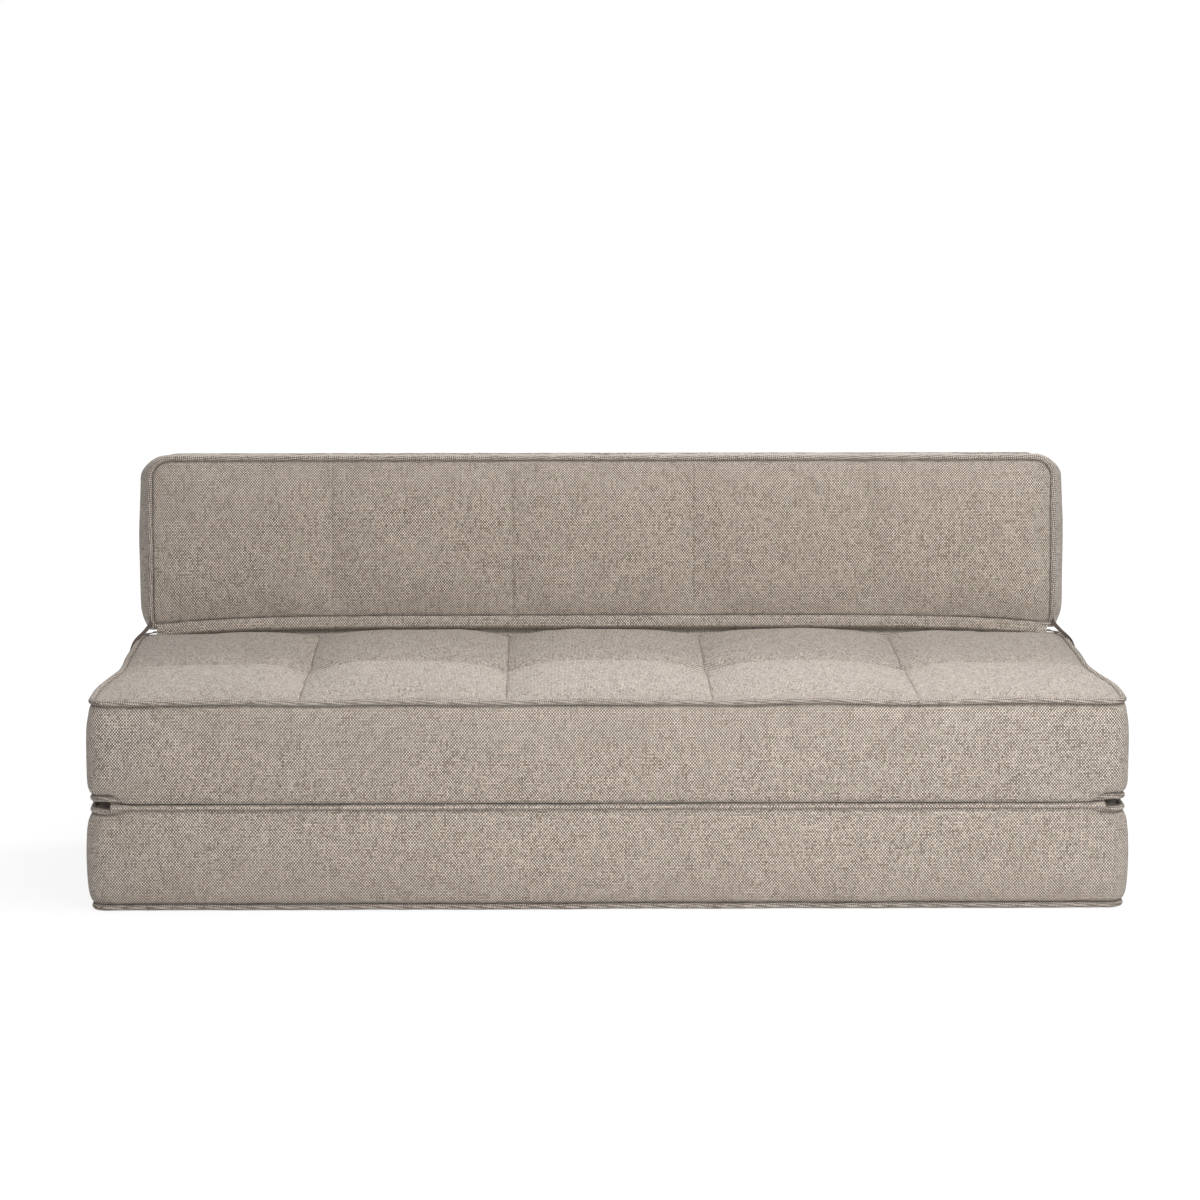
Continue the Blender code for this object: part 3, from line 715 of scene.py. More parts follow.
def wall_levels(count):
    """Levels between two seams, closer together towards the seams."""
    even = np.linspace(-1.0, 1.0, count + 1)
    return LEVEL_EASE * np.sin(even * math.pi / 2) + (1 - LEVEL_EASE) * even


ZIPS = {
    # block: side of its zip, level of the zip between the seams
    "base": (1, 0.0), "seat": (1, 0.0), "back": (-1, -0.45),
}
# how far the hold reaches and fades: in tape widths across the zip, and in metres along it
HOLD_WIDTHS = 1.3
HOLD_FADE_WIDTHS = 0.5
ZIP_MARGIN = 0.03
ZIP_FADE = 0.02


def zip_hold(block, x, y, level):
    """One over the zip's tape, which keeps the cloth straight, and zero away from it."""
    side, zip_level = ZIPS[block.name]
    reach = np.abs(level - zip_level) * block.half_z / sizes().zip_width
    across = smooth_step((HOLD_WIDTHS - reach) / HOLD_FADE_WIDTHS)
    along = smooth_step((sizes().zip_length / 2 + ZIP_MARGIN - np.abs(x)) / ZIP_FADE)
    return across * along * same(y, side * block.half_y)


def wall_grid(block, lines, step):
    """Lines round a block's side and between its seams, and x, y and level where they cross."""
    loop = outline(block, *lines)
    levels = wall_levels(max(FEWEST_LEVELS, round(2 * block.half_z / step)))
    x, level = crossed(loop[:, 0], levels)
    return (path_length(loop), levels), (x, crossed(loop[:, 1], levels)[0], level)


def settled_wall(block):
    """The settling of a side wall, on its even grid, where the zip holds the cloth."""
    lines, grid = wall_grid(block, block.even(), SETTLE_STEP)
    sewn = same(np.abs(grid[2]), 1.0) | (zip_hold(block, *grid) > 0.5)
    sewn[[0, -1]] = True
    wall = wall_points(block, *grid)
    outward = unit(wall_points(block, *grid, SMALL_SWELL) - wall)
    return lines, settle(wall, outward, sewn)


def boxing(block):
    """The strip round the block's sides, joined end to end at the middle of the rear."""
    name = f"{block.name}_boxing"
    lines, grid = wall_grid(block, block.spaced(WALL_STEP), WALL_STEP)
    levels = lines[1]
    kept = 1 - zip_hold(block, *grid)
    points = wall_points(block, *grid, kept * wall_detail(block, *grid))
    old_lines, moved = settled_wall(block)
    points = points + resample_grid(moved, old_lines, lines) * kept[..., None]

    middle = len(levels) // 2
    around = path_length(points[:, middle])
    steps = np.linalg.norm(np.diff(points, axis=1), axis=-1)
    up = np.cumsum(np.pad(steps, ((0, 0), (1, 0))), axis=1)
    up = up - up[:, middle:middle + 1]
    along = np.broadcast_to(around[:, None] + BOLT_PLACES[name], up.shape)
    mesh = grid_mesh(name, points, np.stack([along, up], axis=-1))
    piece = add_piece(name, mesh, block.matrix, panel_cloth(), block.name, "greige_cloth",
                      f"{block.name}_border")
    thicken(piece, sizes().cloth)


CORD_SIDES = 12
CORD_UNEVENNESS = 0.05
CORD_SPAN = 0.03


def cord(block, side, face):
    """The covered cord along one seam, a closed round tube cut on the bias."""
    name = f"{block.name}_{face}_cord"
    # the cords' cloth is the panel cloth darkened all over, as painted shade
    finish = finish_named("sofa_cord_weave", woven_cloth, weave().cord_shade)
    loop = outline(block, *block.spaced(WALL_STEP))
    draw, taper = block.top_only(side, sizes().seam_draw), block.top_only(side, block.taper)
    plan = block.place(loop[:, 0], loop[:, 1], 0.0, draw, taper)
    height = side * block.half_z + block.sway(loop[:, 0], loop[:, 1], side)
    mesh = tube(name, np.stack([*plan, height], axis=-1), block.seed)
    add_piece(name, mesh, block.matrix, finish, block.name, "piping_cloth",
              f"{block.name}_{face}_piping")


def tube(name, path, seed):
    """A closed round tube along a path that ends where it starts."""
    run = unit(np.vstack([path[1:], path[1]]) - np.vstack([path[-2], path[:-1]]))
    out = unit(np.cross(run, (0.0, 0.0, 1.0)))
    up = np.cross(out, run)
    along = path_length(path)
    turn = np.linspace(0.0, 2 * math.pi, CORD_SIDES + 1)
    uneven = CORD_UNEVENNESS * wave(along, 0.0, CORD_SPAN, seed)
    thick = sizes().cord_radius * (1 + uneven)
    ring = np.cos(turn)[None, :, None] * out[:, None] + np.sin(turn)[None, :, None] * up[:, None]
    points = path[:, None, :] + ring * thick[:, None, None]
    points[-1] = points[0]
    points[:, -1] = points[:, 0]
    u, v = crossed(along, turn * sizes().cord_radius)
    bias = math.sqrt(0.5)
    places = np.stack([(u + v) * bias + BOLT_PLACES[name], (v - u) * bias], axis=-1)
    return grid_mesh(name, points, places, closed=True)


def keep_under_cover(mesh, block, depth):
    """Lowers a filling's points that would come within a depth of the quilted cover."""
    to_block = block.matrix.inverted()
    places = [to_block @ point.co for point in mesh.vertices]
    x, y, z = np.array([tuple(place) for place in places]).T
    limit = block.half_z + HALF_LINING + block.quilted_face(x, y) - depth
    for point, place, lowered in zip(mesh.vertices, places, np.minimum(z, limit)):
        point.co = block.matrix @ Vector((place.x, place.y, lowered))


def filling(name, node, block, finish, slot, depth):
    """A filling body, with the form of its CAD solid in larger faces."""
    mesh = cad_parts[node].data.copy()
    if block.name != "base":
        keep_under_cover(mesh, block, depth)
    with editing(mesh) as bm:
        bmesh.ops.remove_doubles(bm, verts=bm.verts, dist=1e-5)
        bmesh.ops.join_triangles(bm, faces=bm.faces, angle_face_threshold=0.6,
                                 angle_shape_threshold=0.7)
    mesh.materials.clear()
    piece = add_piece(name, mesh, Matrix(), finish, block.name, slot, node)
    piece.data.shade_smooth()


RIBBON_STEPS = 6
RIBBON_ROUNDING = 0.3
RIPPLE_SPAN = 0.05


def ribbon(name, path, across, width, thickness, columns, ripple=0.0):
    """A flat strip along a path: its width lies along the vectors in across."""
    origin = BOLT_PLACES.get(name, 0.0)
    path, across = np.array(path, float), unit(np.array(across, float))
    knots = path_length(path)
    steps = np.linspace(0.0, knots[-1], RIBBON_STEPS * len(path))
    line = resample(path, knots, steps)
    wide = unit(resample(across, knots, steps))
    part = np.linspace(-0.5, 0.5, columns)
    points = line[:, None, :] + wide[:, None, :] * part[None, :, None] * width
    out = unit(np.cross(np.gradient(line, axis=0), wide))
    stray = ripple * wave(points[..., 0], steps[:, None], RIPPLE_SPAN, origin)
    ends = np.sin(math.pi * steps / knots[-1])[:, None]
    points = points + out[:, None, :] * (stray * ends)[..., None]
    places = np.stack(crossed(steps, part * width + origin)[::-1], axis=-1)
    solid = link_new(name, grid_mesh(name, points, places))
    thicken(solid, thickness, 0.0)
    round_edges(solid, thickness * RIBBON_ROUNDING)
    evaluated = solid.evaluated_get(bpy.context.evaluated_depsgraph_get())
    final = bpy.data.meshes.new_from_object(evaluated)
    bpy.data.objects.remove(solid)
    return final


# Materials

class Value:
    """A node's output that adds Math nodes when it is used in an expression."""

    def __init__(self, nodes, socket):
        self.nodes = nodes
        self.socket = socket

    def math(self, operation, *others):
        return self.nodes.value("ShaderNodeMath", {"operation": operation},
                                dict(enumerate((self, *others))))

    def __add__(self, other):
        return self.math("ADD", other)

    def __sub__(self, other):
        return self.math("SUBTRACT", other)

    def __rsub__(self, other):
        return self.nodes.value("ShaderNodeMath", {"operation": "SUBTRACT"},
                                {0: other, 1: self})

    def __mul__(self, other):
        return self.math("MULTIPLY", other)

    def __truediv__(self, other):
        return self.math("DIVIDE", other)

    def __pow__(self, other):
        return self.math("POWER", other)

    def __mod__(self, other):
        return self.math("FLOORED_MODULO", other)

    __radd__ = __add__
    __rmul__ = __mul__

    def floor(self):
        return self.math("FLOOR")

    def size(self):
        return self.math("ABSOLUTE")


class Nodes:
    """A node tree under construction, with one way to add a node."""

    def __init__(self, tree):
        self.tree = tree

    def add(self, kind, settings=None, sockets=None):
        node = self.tree.nodes.new(kind)
        for key, item in (settings or {}).items():
            if key == "stops":
                self.set_stops(node.color_ramp, item)
            else:
                setattr(node, key, item)
        for key, item in (sockets or {}).items():
            if isinstance(item, Value):
                self.tree.links.new(item.socket, node.inputs[key])
            else:
                node.inputs[key].default_value = item
        return node

    def set_stops(self, ramp, stops):
        while len(ramp.elements) < len(stops):
            ramp.elements.new(0.5)
        for element, (position, shade) in zip(ramp.elements, stops):
            element.position = position
            element.color = (*shade, 1.0)

    def value(self, kind, settings=None, sockets=None, output=0):
        return Value(self, self.add(kind, settings, sockets).outputs[output])


class Finish(Nodes):
    """A material under construction, round its Principled shader."""

    def __init__(self, name, roughness, metallic=0.0, sheen=0.0):
        self.material = bpy.data.materials.new(name)
        self.material.use_nodes = True
        super().__init__(self.material.node_tree)
        self.shader = self.tree.nodes["Principled BSDF"]
        self.shader.inputs["Roughness"].default_value = roughness
        self.shader.inputs["Metallic"].default_value = metallic
        self.shader.inputs["Sheen Weight"].default_value = sheen

    def join(self, x, y, z=0.0):
        return self.value("ShaderNodeCombineXYZ", None, {"X": x, "Y": y, "Z": z})

    def split(self, vector):
        """The first two parts of a vector."""
        parts = self.add("ShaderNodeSeparateXYZ", None, {0: vector}).outputs
        return Value(self, parts[0]), Value(self, parts[1])

    def noise(self, vector, scale, detail, output="Fac"):
        settings = {"noise_dimensions": "3D"}
        sockets = {"Vector": vector, "Scale": scale, "Detail": detail}
        return self.value("ShaderNodeTexNoise", settings, sockets, output)

    def mix(self, factor, first, second, blend="MIX"):
        settings = {"data_type": "RGBA", "blend_type": blend}
        return self.value("ShaderNodeMix", settings, {0: factor, 6: first, 7: second}, 2)

    def shaded(self, tone, shade):
        """A colour made darker or brighter by a value."""
        return self.mix(1.0, tone, self.join(shade, shade, shade), "MULTIPLY")

    def pores(self, place, scale):
        """Distance to the nearest of many scattered points."""
        return self.value("ShaderNodeTexVoronoi", {"feature": "F1"},
                          {"Vector": place, "Scale": scale}, "Distance")

    def cloth_place(self):
        return self.split(self.value("ShaderNodeUVMap", {"uv_map": CLOTH_MAP}))

    def object_place(self):
        return self.value("ShaderNodeTexCoord", None, None, "Object")

    def wear(self, sockets):
        """Links what varies over the surface to the shader."""
        for name, item in sockets.items():
            self.tree.links.new(item.socket, self.shader.inputs[name])
        return self.material

    def bump(self, height, distance):
        return self.value("ShaderNodeBump", None, {"Height": height, "Distance": distance},
                          "Normal")


def opaque(shade, factor=1.0):
    return (*[channel * factor for channel in shade], 1.0)


# a yarn's round top, its dive under the next yarn and the light in the gaps
YARN_ROUNDNESS = 2.2
DIVE_ROUNDNESS = 3.0
DIVE_DEPTH = 0.75
GAP_EASE = 0.7
# features to a metre of cloth, and the step in the noise from one yarn to the next
WANDERS = 55.0
SLUBS = 26.0
PLIES = 900.0
CLOUDS = 14.0
YARN_STRIDE = 7.31
# how much each kind of unevenness adds to the tone
CELL_TONE = 1.1
SLUB_TONE = 0.9
CLOUD_TONE = 0.18
PLY_TONE = 0.5
ROW_TONE = 0.26
PLY_RELIEF = 0.15


def woven_cloth(name, painted_shade_factor=1.0):
    """The coarse greige cloth: a plain weave of thick mixed yarns, slubby both ways."""
    finish = Finish(name, roughness=0.92, sheen=0.08)
    u, v = finish.cloth_place()
    flat = finish.join(u, v)
    stray_u, stray_v = finish.split(finish.noise(flat, WANDERS, detail=1.0, output="Color"))
    u = u + (stray_u - 0.5) * (4 * weave().wander)
    v = v + (stray_v - 0.5) * (4 * weave().wander)
    warp = u / weave().warp_pitch
    weft = v / weave().weft_pitch
    warp_number, weft_number = warp.floor(), weft.floor()
    warp_part, weft_part = warp - warp_number, weft - weft_number
    warp_on_top = (warp_number + weft_number) % 2.0
    across = weft_part + warp_on_top * (warp_part - weft_part)
    along = warp_part + weft_part - across
    crest = 1.0 - (across * 2.0 - 1.0).size() ** YARN_ROUNDNESS
    dive = 1.0 - (along * 2.0 - 1.0).size() ** DIVE_ROUNDNESS
    height = crest * (dive * DIVE_DEPTH + (1 - DIVE_DEPTH))

    cell = finish.value("ShaderNodeTexWhiteNoise", {"noise_dimensions": "3D"},
                        {"Vector": finish.join(warp_number, weft_number, warp_on_top)}, "Value")
    warp_place = finish.join(warp_number * YARN_STRIDE, v * SLUBS, 2.0)
    weft_place = finish.join(u * SLUBS, weft_number * YARN_STRIDE, 9.0)
    warp_slub = finish.noise(warp_place, scale=1.0, detail=2.0)
    weft_slub = finish.noise(weft_place, scale=1.0, detail=2.0)
    slub = weft_slub + warp_on_top * (warp_slub - weft_slub)
    cloud = finish.noise(flat, CLOUDS, detail=3.0)
    ply = finish.noise(finish.join(u * PLIES, v * PLIES, 4.0), scale=1.0, detail=1.0)
    row = (weft_number % 2.0) - 0.5
    tone = 0.5 + (warp_on_top - 0.5) * weave().check + row * ROW_TONE
    for part, share_of_tone in ((cell, CELL_TONE), (slub, SLUB_TONE), (cloud, CLOUD_TONE),
                                (ply, PLY_TONE)):
        tone = tone + (part - 0.5) * share_of_tone

    palette = colours()
    stops = [(0.0, palette.yarn_dark), (0.5, palette.yarn_middle), (1.0, palette.yarn_light)]
    yarn = finish.value("ShaderNodeValToRGB", {"stops": stops}, {"Fac": tone}, "Color")
    shade = weave().gap_shade + (1.0 - weave().gap_shade) * height ** GAP_EASE
    # painted shade: the gaps darken towards the gap shade, and the factor darkens the whole cloth
    # where the cords use it
    cloth = finish.shaded(yarn, shade * painted_shade_factor)
    rough = 0.86 + 0.1 * ply
    normal = finish.bump(height + ply * PLY_RELIEF, weave().yarn_relief)
    return finish.wear({"Base Color": cloth, "Roughness": rough, "Normal": normal})


def lining_cloth(name):
    """Dark spun-bonded lining with its bonding dimples."""
    finish = Finish(name, roughness=0.9)
    u, v = finish.cloth_place()
    flat = finish.join(u, v)
    dimples = finish.pores(flat, scale=620.0)
    fibres = finish.noise(flat, scale=900.0, detail=3.0)
    cloth = finish.shaded(opaque(colours().lining), 0.75 + fibres * 0.5 - dimples * 0.2)
    normal = finish.bump(dimples + fibres, distance=0.0003)
    return finish.wear({"Base Color": cloth, "Normal": normal})


def foam_stuff(name):
    """Open-cell foam, fine pores over a sawn face."""
    finish = Finish(name, roughness=0.95)
    place = finish.object_place()
    pores = finish.pores(place, scale=500.0)
    cloud = finish.noise(place, scale=9.0, detail=3.0)
    stuff = finish.shaded(opaque(colours().foam), 0.8 + pores * 0.3 + (cloud - 0.5) * 0.2)
    return finish.wear({"Base Color": stuff, "Normal": finish.bump(pores, distance=0.0006)})


def fleece_stuff(name):
    """White fibre wadding."""
    finish = Finish(name, roughness=1.0)
    place = finish.object_place()
    fibres = finish.noise(place, scale=260.0, detail=6.0)
    stuff = finish.shaded(opaque(colours().fleece), 0.82 + fibres * 0.3)
    return finish.wear({"Base Color": stuff, "Normal": finish.bump(fibres, distance=0.002)})


CHEVRONS = 500.0
RIBS = 700.0


def webbing_cloth(name, tone_name):
    """Narrow herringbone webbing."""
    finish = Finish(name, roughness=0.8)
    u, v = finish.cloth_place()
    lean = (u * CHEVRONS % 1.0 - 0.5).size()
    rib = ((v * RIBS + lean * 2.0) % 1.0 - 0.5).size() * 2.0
    fibres = finish.noise(finish.join(u, v), scale=1500.0, detail=2.0)
    tone = opaque(getattr(colours(), tone_name))
    cloth = finish.shaded(tone, 0.55 + rib * 0.6 + (fibres - 0.5) * 0.4)
    return finish.wear({"Base Color": cloth, "Normal": finish.bump(rib, distance=0.0004)})


def zip_metal(name):
    """Plated die-cast metal with fine handling marks."""
    finish = Finish(name, roughness=0.35, metallic=1.0)
    marks = finish.noise(finish.object_place(), scale=700.0, detail=4.0)
    tone = finish.mix(marks, opaque(colours().zip_metal, 0.85), opaque(colours().zip_metal, 1.1))
    rough = 0.28 + marks * 0.2
    return finish.wear({"Base Color": tone, "Roughness": rough,
                        "Normal": finish.bump(marks, distance=0.00005)})


def finish_named(name, make, *arguments):
    """A material by name, made the first time that it is asked for."""
    return bpy.data.materials.get(name) or make(name, *arguments)


def panel_cloth():
    return finish_named("sofa_weave", woven_cloth)


# Operators

class PieceOperator:
    """Shared settings of the operators that make pieces"""

    bl_options = {"REGISTER", "UNDO"}


QUILTED_STEP = 0.008
REAR_STEP = 0.012
HIDDEN_STEP = 0.016


class SOFABED_OT_panels(PieceOperator, Operator):
    """Makes the top, front, rear and underside panels of the three covers"""

    bl_idname = "sofa_bed.panels"
    bl_label = "Panels"

    def execute(self, context):
        base, seat, back = blocks()
        panel(base, 1, "base_top_cover", "base_top_panel", HIDDEN_STEP, shown=False)
        panel(seat, 1, "seat_top_cover", "seat_top_panel", QUILTED_STEP, quilted=True)
        panel(seat, -1, "seat_underside_cover", "seat_bottom_panel", HIDDEN_STEP, shown=False)
        panel(back, 1, "back_front_cover", "back_front_panel", QUILTED_STEP, quilted=True)
        panel(back, -1, "back_rear_cover", "back_rear_panel", REAR_STEP)
        return {"FINISHED"}


LINING_STEP = 0.03
LINING_THICKNESS = 0.0008
LINING_LIFT = 0.0004
LINING_EDGE_LIFT = 0.0012
LINING_EDGE_REACH = 0.05
LINING_RIPPLE = 0.0005
LINING_RIPPLE_SPAN = 0.05


class SOFABED_OT_lining(PieceOperator, Operator):
    """Makes the base's underside lining"""

    bl_idname = "sofa_bed.lining"
    bl_label = "Underside lining"

    def execute(self, context):
        block = blocks()[0]
        x, y = crossed(*block.spaced(LINING_STEP))
        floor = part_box("base_bottom_panel")[0].z - block.matrix.translation.z
        inside = smooth_step(edge_distance(block, x, y) / LINING_EDGE_REACH)
        rise = LINING_LIFT + LINING_EDGE_LIFT * (1 - inside)
        rise = rise + LINING_RIPPLE * wave(x, y, LINING_RIPPLE_SPAN, seed=71.0) ** 2
        points = np.stack([*block.place(x, y, block.room), floor + rise], axis=-1)[::-1]
        places = np.stack([x, y], axis=-1)[::-1]
        mesh = grid_mesh("base_underside_lining", points, places)
        finish = finish_named("lining_felt", lining_cloth)
        piece = add_piece("base_underside_lining", mesh, block.matrix, finish, "base",
                          "underside_lining", "base_bottom_panel")
        piece.data.flip_normals()
        thicken(piece, LINING_THICKNESS, 1.0)
        block.face_size()
        return {"FINISHED"}


class SOFABED_OT_boxings(PieceOperator, Operator):
    """Makes the boxing strips round the blocks' sides"""

    bl_idname = "sofa_bed.boxings"
    bl_label = "Boxings"

    def execute(self, context):
        for block in blocks():
            boxing(block)
        return {"FINISHED"}


class SOFABED_OT_cords(PieceOperator, Operator):
    """Makes the covered cords along the seams"""

    bl_idname = "sofa_bed.cords"
    bl_label = "Cords"

    def execute(self, context):
        for block in blocks():
            for side, face in zip((1, -1), FACES[block.name]):
                cord(block, side, face)
        return {"FINISHED"}


FOAM_DEPTH = 0.007
FLEECE_DEPTH = 0.0045


class SOFABED_OT_fillings(PieceOperator, Operator):
    """Makes the foam cores and the wadding under the quilting"""

    bl_idname = "sofa_bed.fillings"
    bl_label = "Foam and wadding"

    def execute(self, context):
        foam = finish_named("cut_foam", foam_stuff)
        fleece = finish_named("fibre_fleece", fleece_stuff)
        for block in blocks():
            name = block.name
            filling(f"{name}_foam", f"{name}_foam_core", block, foam, "foam", FOAM_DEPTH)
            if name != "base":
                filling(f"{name}_fleece", f"{name}_wadding", block, fleece, "fleece_wadding",
                        FLEECE_DEPTH)
        return {"FINISHED"}


FRONT_BAND_PATH = (
    # y and z, from the base's side wall up over its top cord to the seat's bottom cord
    (-0.3796, 0.1880), (-0.3806, 0.1902), (-0.3838, 0.1922), (-0.3860, 0.1948),
    (-0.3862, 0.1972), (-0.3845, 0.1993), (-0.3810, 0.2005), (-0.3765, 0.2006),
    (-0.3725, 0.2010), (-0.3712, 0.2022), (-0.3722, 0.2042),
)
REAR_BAND_PATH = (
    # y and z, from the seat's rear cord out into a fold and up to the back's bottom cord
    (0.3768, 0.3868), (0.3825, 0.3886), (0.3890, 0.3919), (0.3965, 0.3942),
    (0.4030, 0.3958), (0.4055, 0.3980), (0.4025, 0.4006), (0.3965, 0.4034),
    (0.3908, 0.4058), (0.3878, 0.4096), (0.3880, 0.4145), (0.3892, 0.4200),
    (0.3901, 0.4250), (0.3921, 0.4290),
)
BAND_CLOTH = 0.0016
BAND_RIPPLE = 0.0007
BAND_COLUMNS = 240
SAG_START = 0.392
SAG_SPAN = 0.008
FOLD_FRONT = 0.391
FOLD_SHRINK = 0.9


class SOFABED_OT_bands(PieceOperator, Operator):
    """Makes the two fabric hinges"""

    bl_idname = "sofa_bed.bands"
    bl_label = "Hinge bands"

    def execute(self, context):
        self.band("front_band", "front_hinge_band", FRONT_BAND_PATH, ("base", "seat"),
                  ("base_top_cord", "seat_bottom_cord"))
        self.band("rear_band", "rear_hinge_band", REAR_BAND_PATH, ("seat", "back"),
                  ("seat_top_cord", "back_front_cord"), sizes().corner_droop)
        return {"FINISHED"}

    def band(self, name, node, line, bodies, sewn_to, sag=0.0):
        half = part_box(node)[1].x
        path = [(0.0, y, z) for y, z in line]
        across = [(1.0, 0.0, 0.0)] * len(path)
        mesh = ribbon(name, path, across, 2 * half, BAND_CLOTH, BAND_COLUMNS, BAND_RIPPLE)
        for corner in mesh.vertices:
            drawn = smooth_step((corner.co.z - SAG_START) / SAG_SPAN)
            droop = abs(corner.co.x / half) ** DROOP_POWER
            corner.co.z -= sag * drawn * droop
            corner.co.y -= FOLD_SHRINK * droop * max(corner.co.y - FOLD_FRONT, 0.0)
        piece = add_piece(name, mesh, Matrix(), panel_cloth(), None, "greige_cloth", node)
        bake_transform(piece)


TAB_WIDTH = 0.0105
TIE_WIDTH = 0.012
WEBBING_THICKNESS = 0.0013
WEBBING_COLUMNS = 5
TAB_PATH = (
    # x, y and z on the right, from the seat's corner seam up to the back's bottom seam
    (0.9240, 0.3610, 0.3915), (0.9220, 0.3700, 0.3966), (0.9160, 0.3800, 0.3972),
    (0.9085, 0.3870, 0.3970), (0.9045, 0.3915, 0.3990),
)
TIE_PATH = (
    # x, y and z on the right, from the seat's side wall up to the back's side wall
    (0.9490, 0.2260, 0.3553), (0.9420, 0.2620, 0.3855), (0.9345, 0.2950, 0.3985),
    (0.9210, 0.3430, 0.4090), (0.9140, 0.3880, 0.4190), (0.9250, 0.4250, 0.4330),
    (0.9350, 0.4600, 0.4430),
)
TIE_ACROSS = (
    # x, y and z along the webbing's width, which turns to the front between the walls
    (0.0, -0.64, 0.77), (0.0, -0.7, 0.7), (0.4, -0.75, 0.4), (0.5, -0.75, 0.4),
    (0.35, -0.6, 0.7), (0.0, -0.25, 0.97), (0.0, -0.23, 0.97),
)


class SOFABED_OT_straps(PieceOperator, Operator):
    """Makes the webbing at the rear corners: a short tab and a longer tie on each side"""

    bl_idname = "sofa_bed.straps"
    bl_label = "Corner webbing"

    def execute(self, context):
        for word, side in (("left", -1), ("right", 1)):
            wide = [(1.0, 0.0, 0.0)] * len(TAB_PATH)
            self.strap(f"{word}_tab", f"{word}_corner_tab", side, TAB_PATH, wide, TAB_WIDTH)
            self.strap(f"{word}_tie", f"{word}_corner_tie", side, TIE_PATH, TIE_ACROSS,
                       TIE_WIDTH)
        return {"FINISHED"}

    def strap(self, name, node, side, line, across, width):
        path = [(side * x, y, z) for x, y, z in line]
        wide = [(side * x, y, z) for x, y, z in across]
        finish = finish_named("strap_weave", webbing_cloth, "webbing")
        mesh = ribbon(name, path, wide, width, WEBBING_THICKNESS, WEBBING_COLUMNS)
        piece = add_piece(name, mesh, Matrix(), finish, None, "strap_webbing", node)
        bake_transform(piece)


TOOTH_PITCH = 0.003
TAPE_THICKNESS = 0.0006
ZIP_ROWS = (
    # distance from the zip's middle, height over the border, height where a tooth dips
    (-0.0120, 0.0008, 0.0008), (-0.0080, 0.0009, 0.0009), (-0.0036, 0.0009, 0.0009),
    (-0.0026, 0.0011, 0.0009), (-0.0018, 0.0016, 0.0012), (-0.0004, 0.0016, 0.0011),
    (0.0, 0.0012, 0.0012), (0.0004, 0.0011, 0.0016), (0.0018, 0.0012, 0.0016),
    (0.0026, 0.0009, 0.0011), (0.0036, 0.0009, 0.0009), (0.0080, 0.0009, 0.0009),
    (0.0120, 0.0008, 0.0008),
)


class SOFABED_OT_zips(PieceOperator, Operator):
    """Makes the closed zips of the three covers, with the coil's teeth along each"""

    bl_idname = "sofa_bed.zips"
    bl_label = "Zips"

    def execute(self, context):
        finish = finish_named("zip_weave", webbing_cloth, "zip_tape")
        for block in blocks():
            self.tape(f"{block.name}_zip_tape", block, finish)
        return {"FINISHED"}

    def tape(self, name, block, finish):
        """A closed zip on the side wall: every other column of points dips between two teeth."""
        side, zip_level = ZIPS[block.name]
        half = sizes().zip_length / 2
        count = round(4 * half / TOOTH_PITCH)
        across, crest, dip = np.array(ZIP_ROWS).T
        x, row = crossed(np.linspace(-half, half, count + 1), across)
        level = zip_level + row / (block.half_z - block.room)
        points = wall_points(block, x, np.full_like(x, side * block.half_y), level)
        points[..., 0] = x
        even = (np.arange(count + 1) % 2 == 0)[:, None]
        points[..., 1] = points[..., 1] + side * np.where(even, crest, dip)
        mesh = grid_mesh(name, points[::-side], np.stack([x, row], axis=-1)[::-side])
        piece = add_piece(name, mesh, block.matrix, finish, block.name, "zip_tape",
                          f"{block.name}_zip")
        thicken(piece, TAPE_THICKNESS)


SLIDER_ROUNDING = 0.00018
SLIDER_PLATE = (
    # along the zip and across it, one half of the plate's outline
    (-0.0066, 0.0), (-0.0066, 0.0030), (-0.0058, 0.0043), (-0.0040, 0.0047), (-0.0015, 0.0045),
    (0.0010, 0.0038), (0.0035, 0.0034), (0.0055, 0.0031), (0.0064, 0.0020), (0.0066, 0.0),
)
SLIDER_LAYERS = (
    # share of the plate's length, share of its width, lowest and highest level
    (1.00, 1.00, -0.0016, -0.0007),
    (0.45, 0.35, -0.0009, 0.0005),
    (0.96, 0.94, 0.0003, 0.0010),
    (0.50, 0.26, 0.0009, 0.0016),
)


class SOFABED_OT_sliders(PieceOperator, Operator):
    """Makes the three zip sliders, which have no pull"""

    bl_idname = "sofa_bed.sliders"
    bl_label = "Zip sliders"

    def execute(self, context):
        finish = finish_named("plated_zip", zip_metal)
        for block in blocks():
            name, node = f"{block.name}_slider_body", f"{block.name}_zip_slider"
            low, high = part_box(node)
            middle = block.matrix.inverted() @ ((low + high) / 2)
            mesh = self.slider_mesh(name, ZIPS[block.name][0])
            matrix = block.matrix @ Matrix.Translation(middle)
            piece = add_piece(name, mesh, matrix, finish, f"{block.name}_slider",
                              "zip_slider_metal", node)
            round_edges(piece, SLIDER_ROUNDING)
        return {"FINISHED"}

    def slider_mesh(self, name, side):
        """A stack of rounded plates: the slider's two shells and what joins them."""
        ring = [*SLIDER_PLATE, *((x, -z) for x, z in SLIDER_PLATE[-2:0:-1])]
        mesh = bpy.data.meshes.new(name)
        with editing(mesh) as bm:
            for long, wide, *levels in SLIDER_LAYERS:
                low, high = ([bm.verts.new((x * long, side * y, z * wide)) for x, z in ring]
                             for y in levels)
                bm.faces.new(low)
                bm.faces.new(high)
                for i in range(len(ring)):
                    bm.faces.new((low[i - 1], low[i], high[i], high[i - 1]))
            bmesh.ops.recalc_face_normals(bm, faces=bm.faces)
        mesh.shade_smooth()
        return mesh


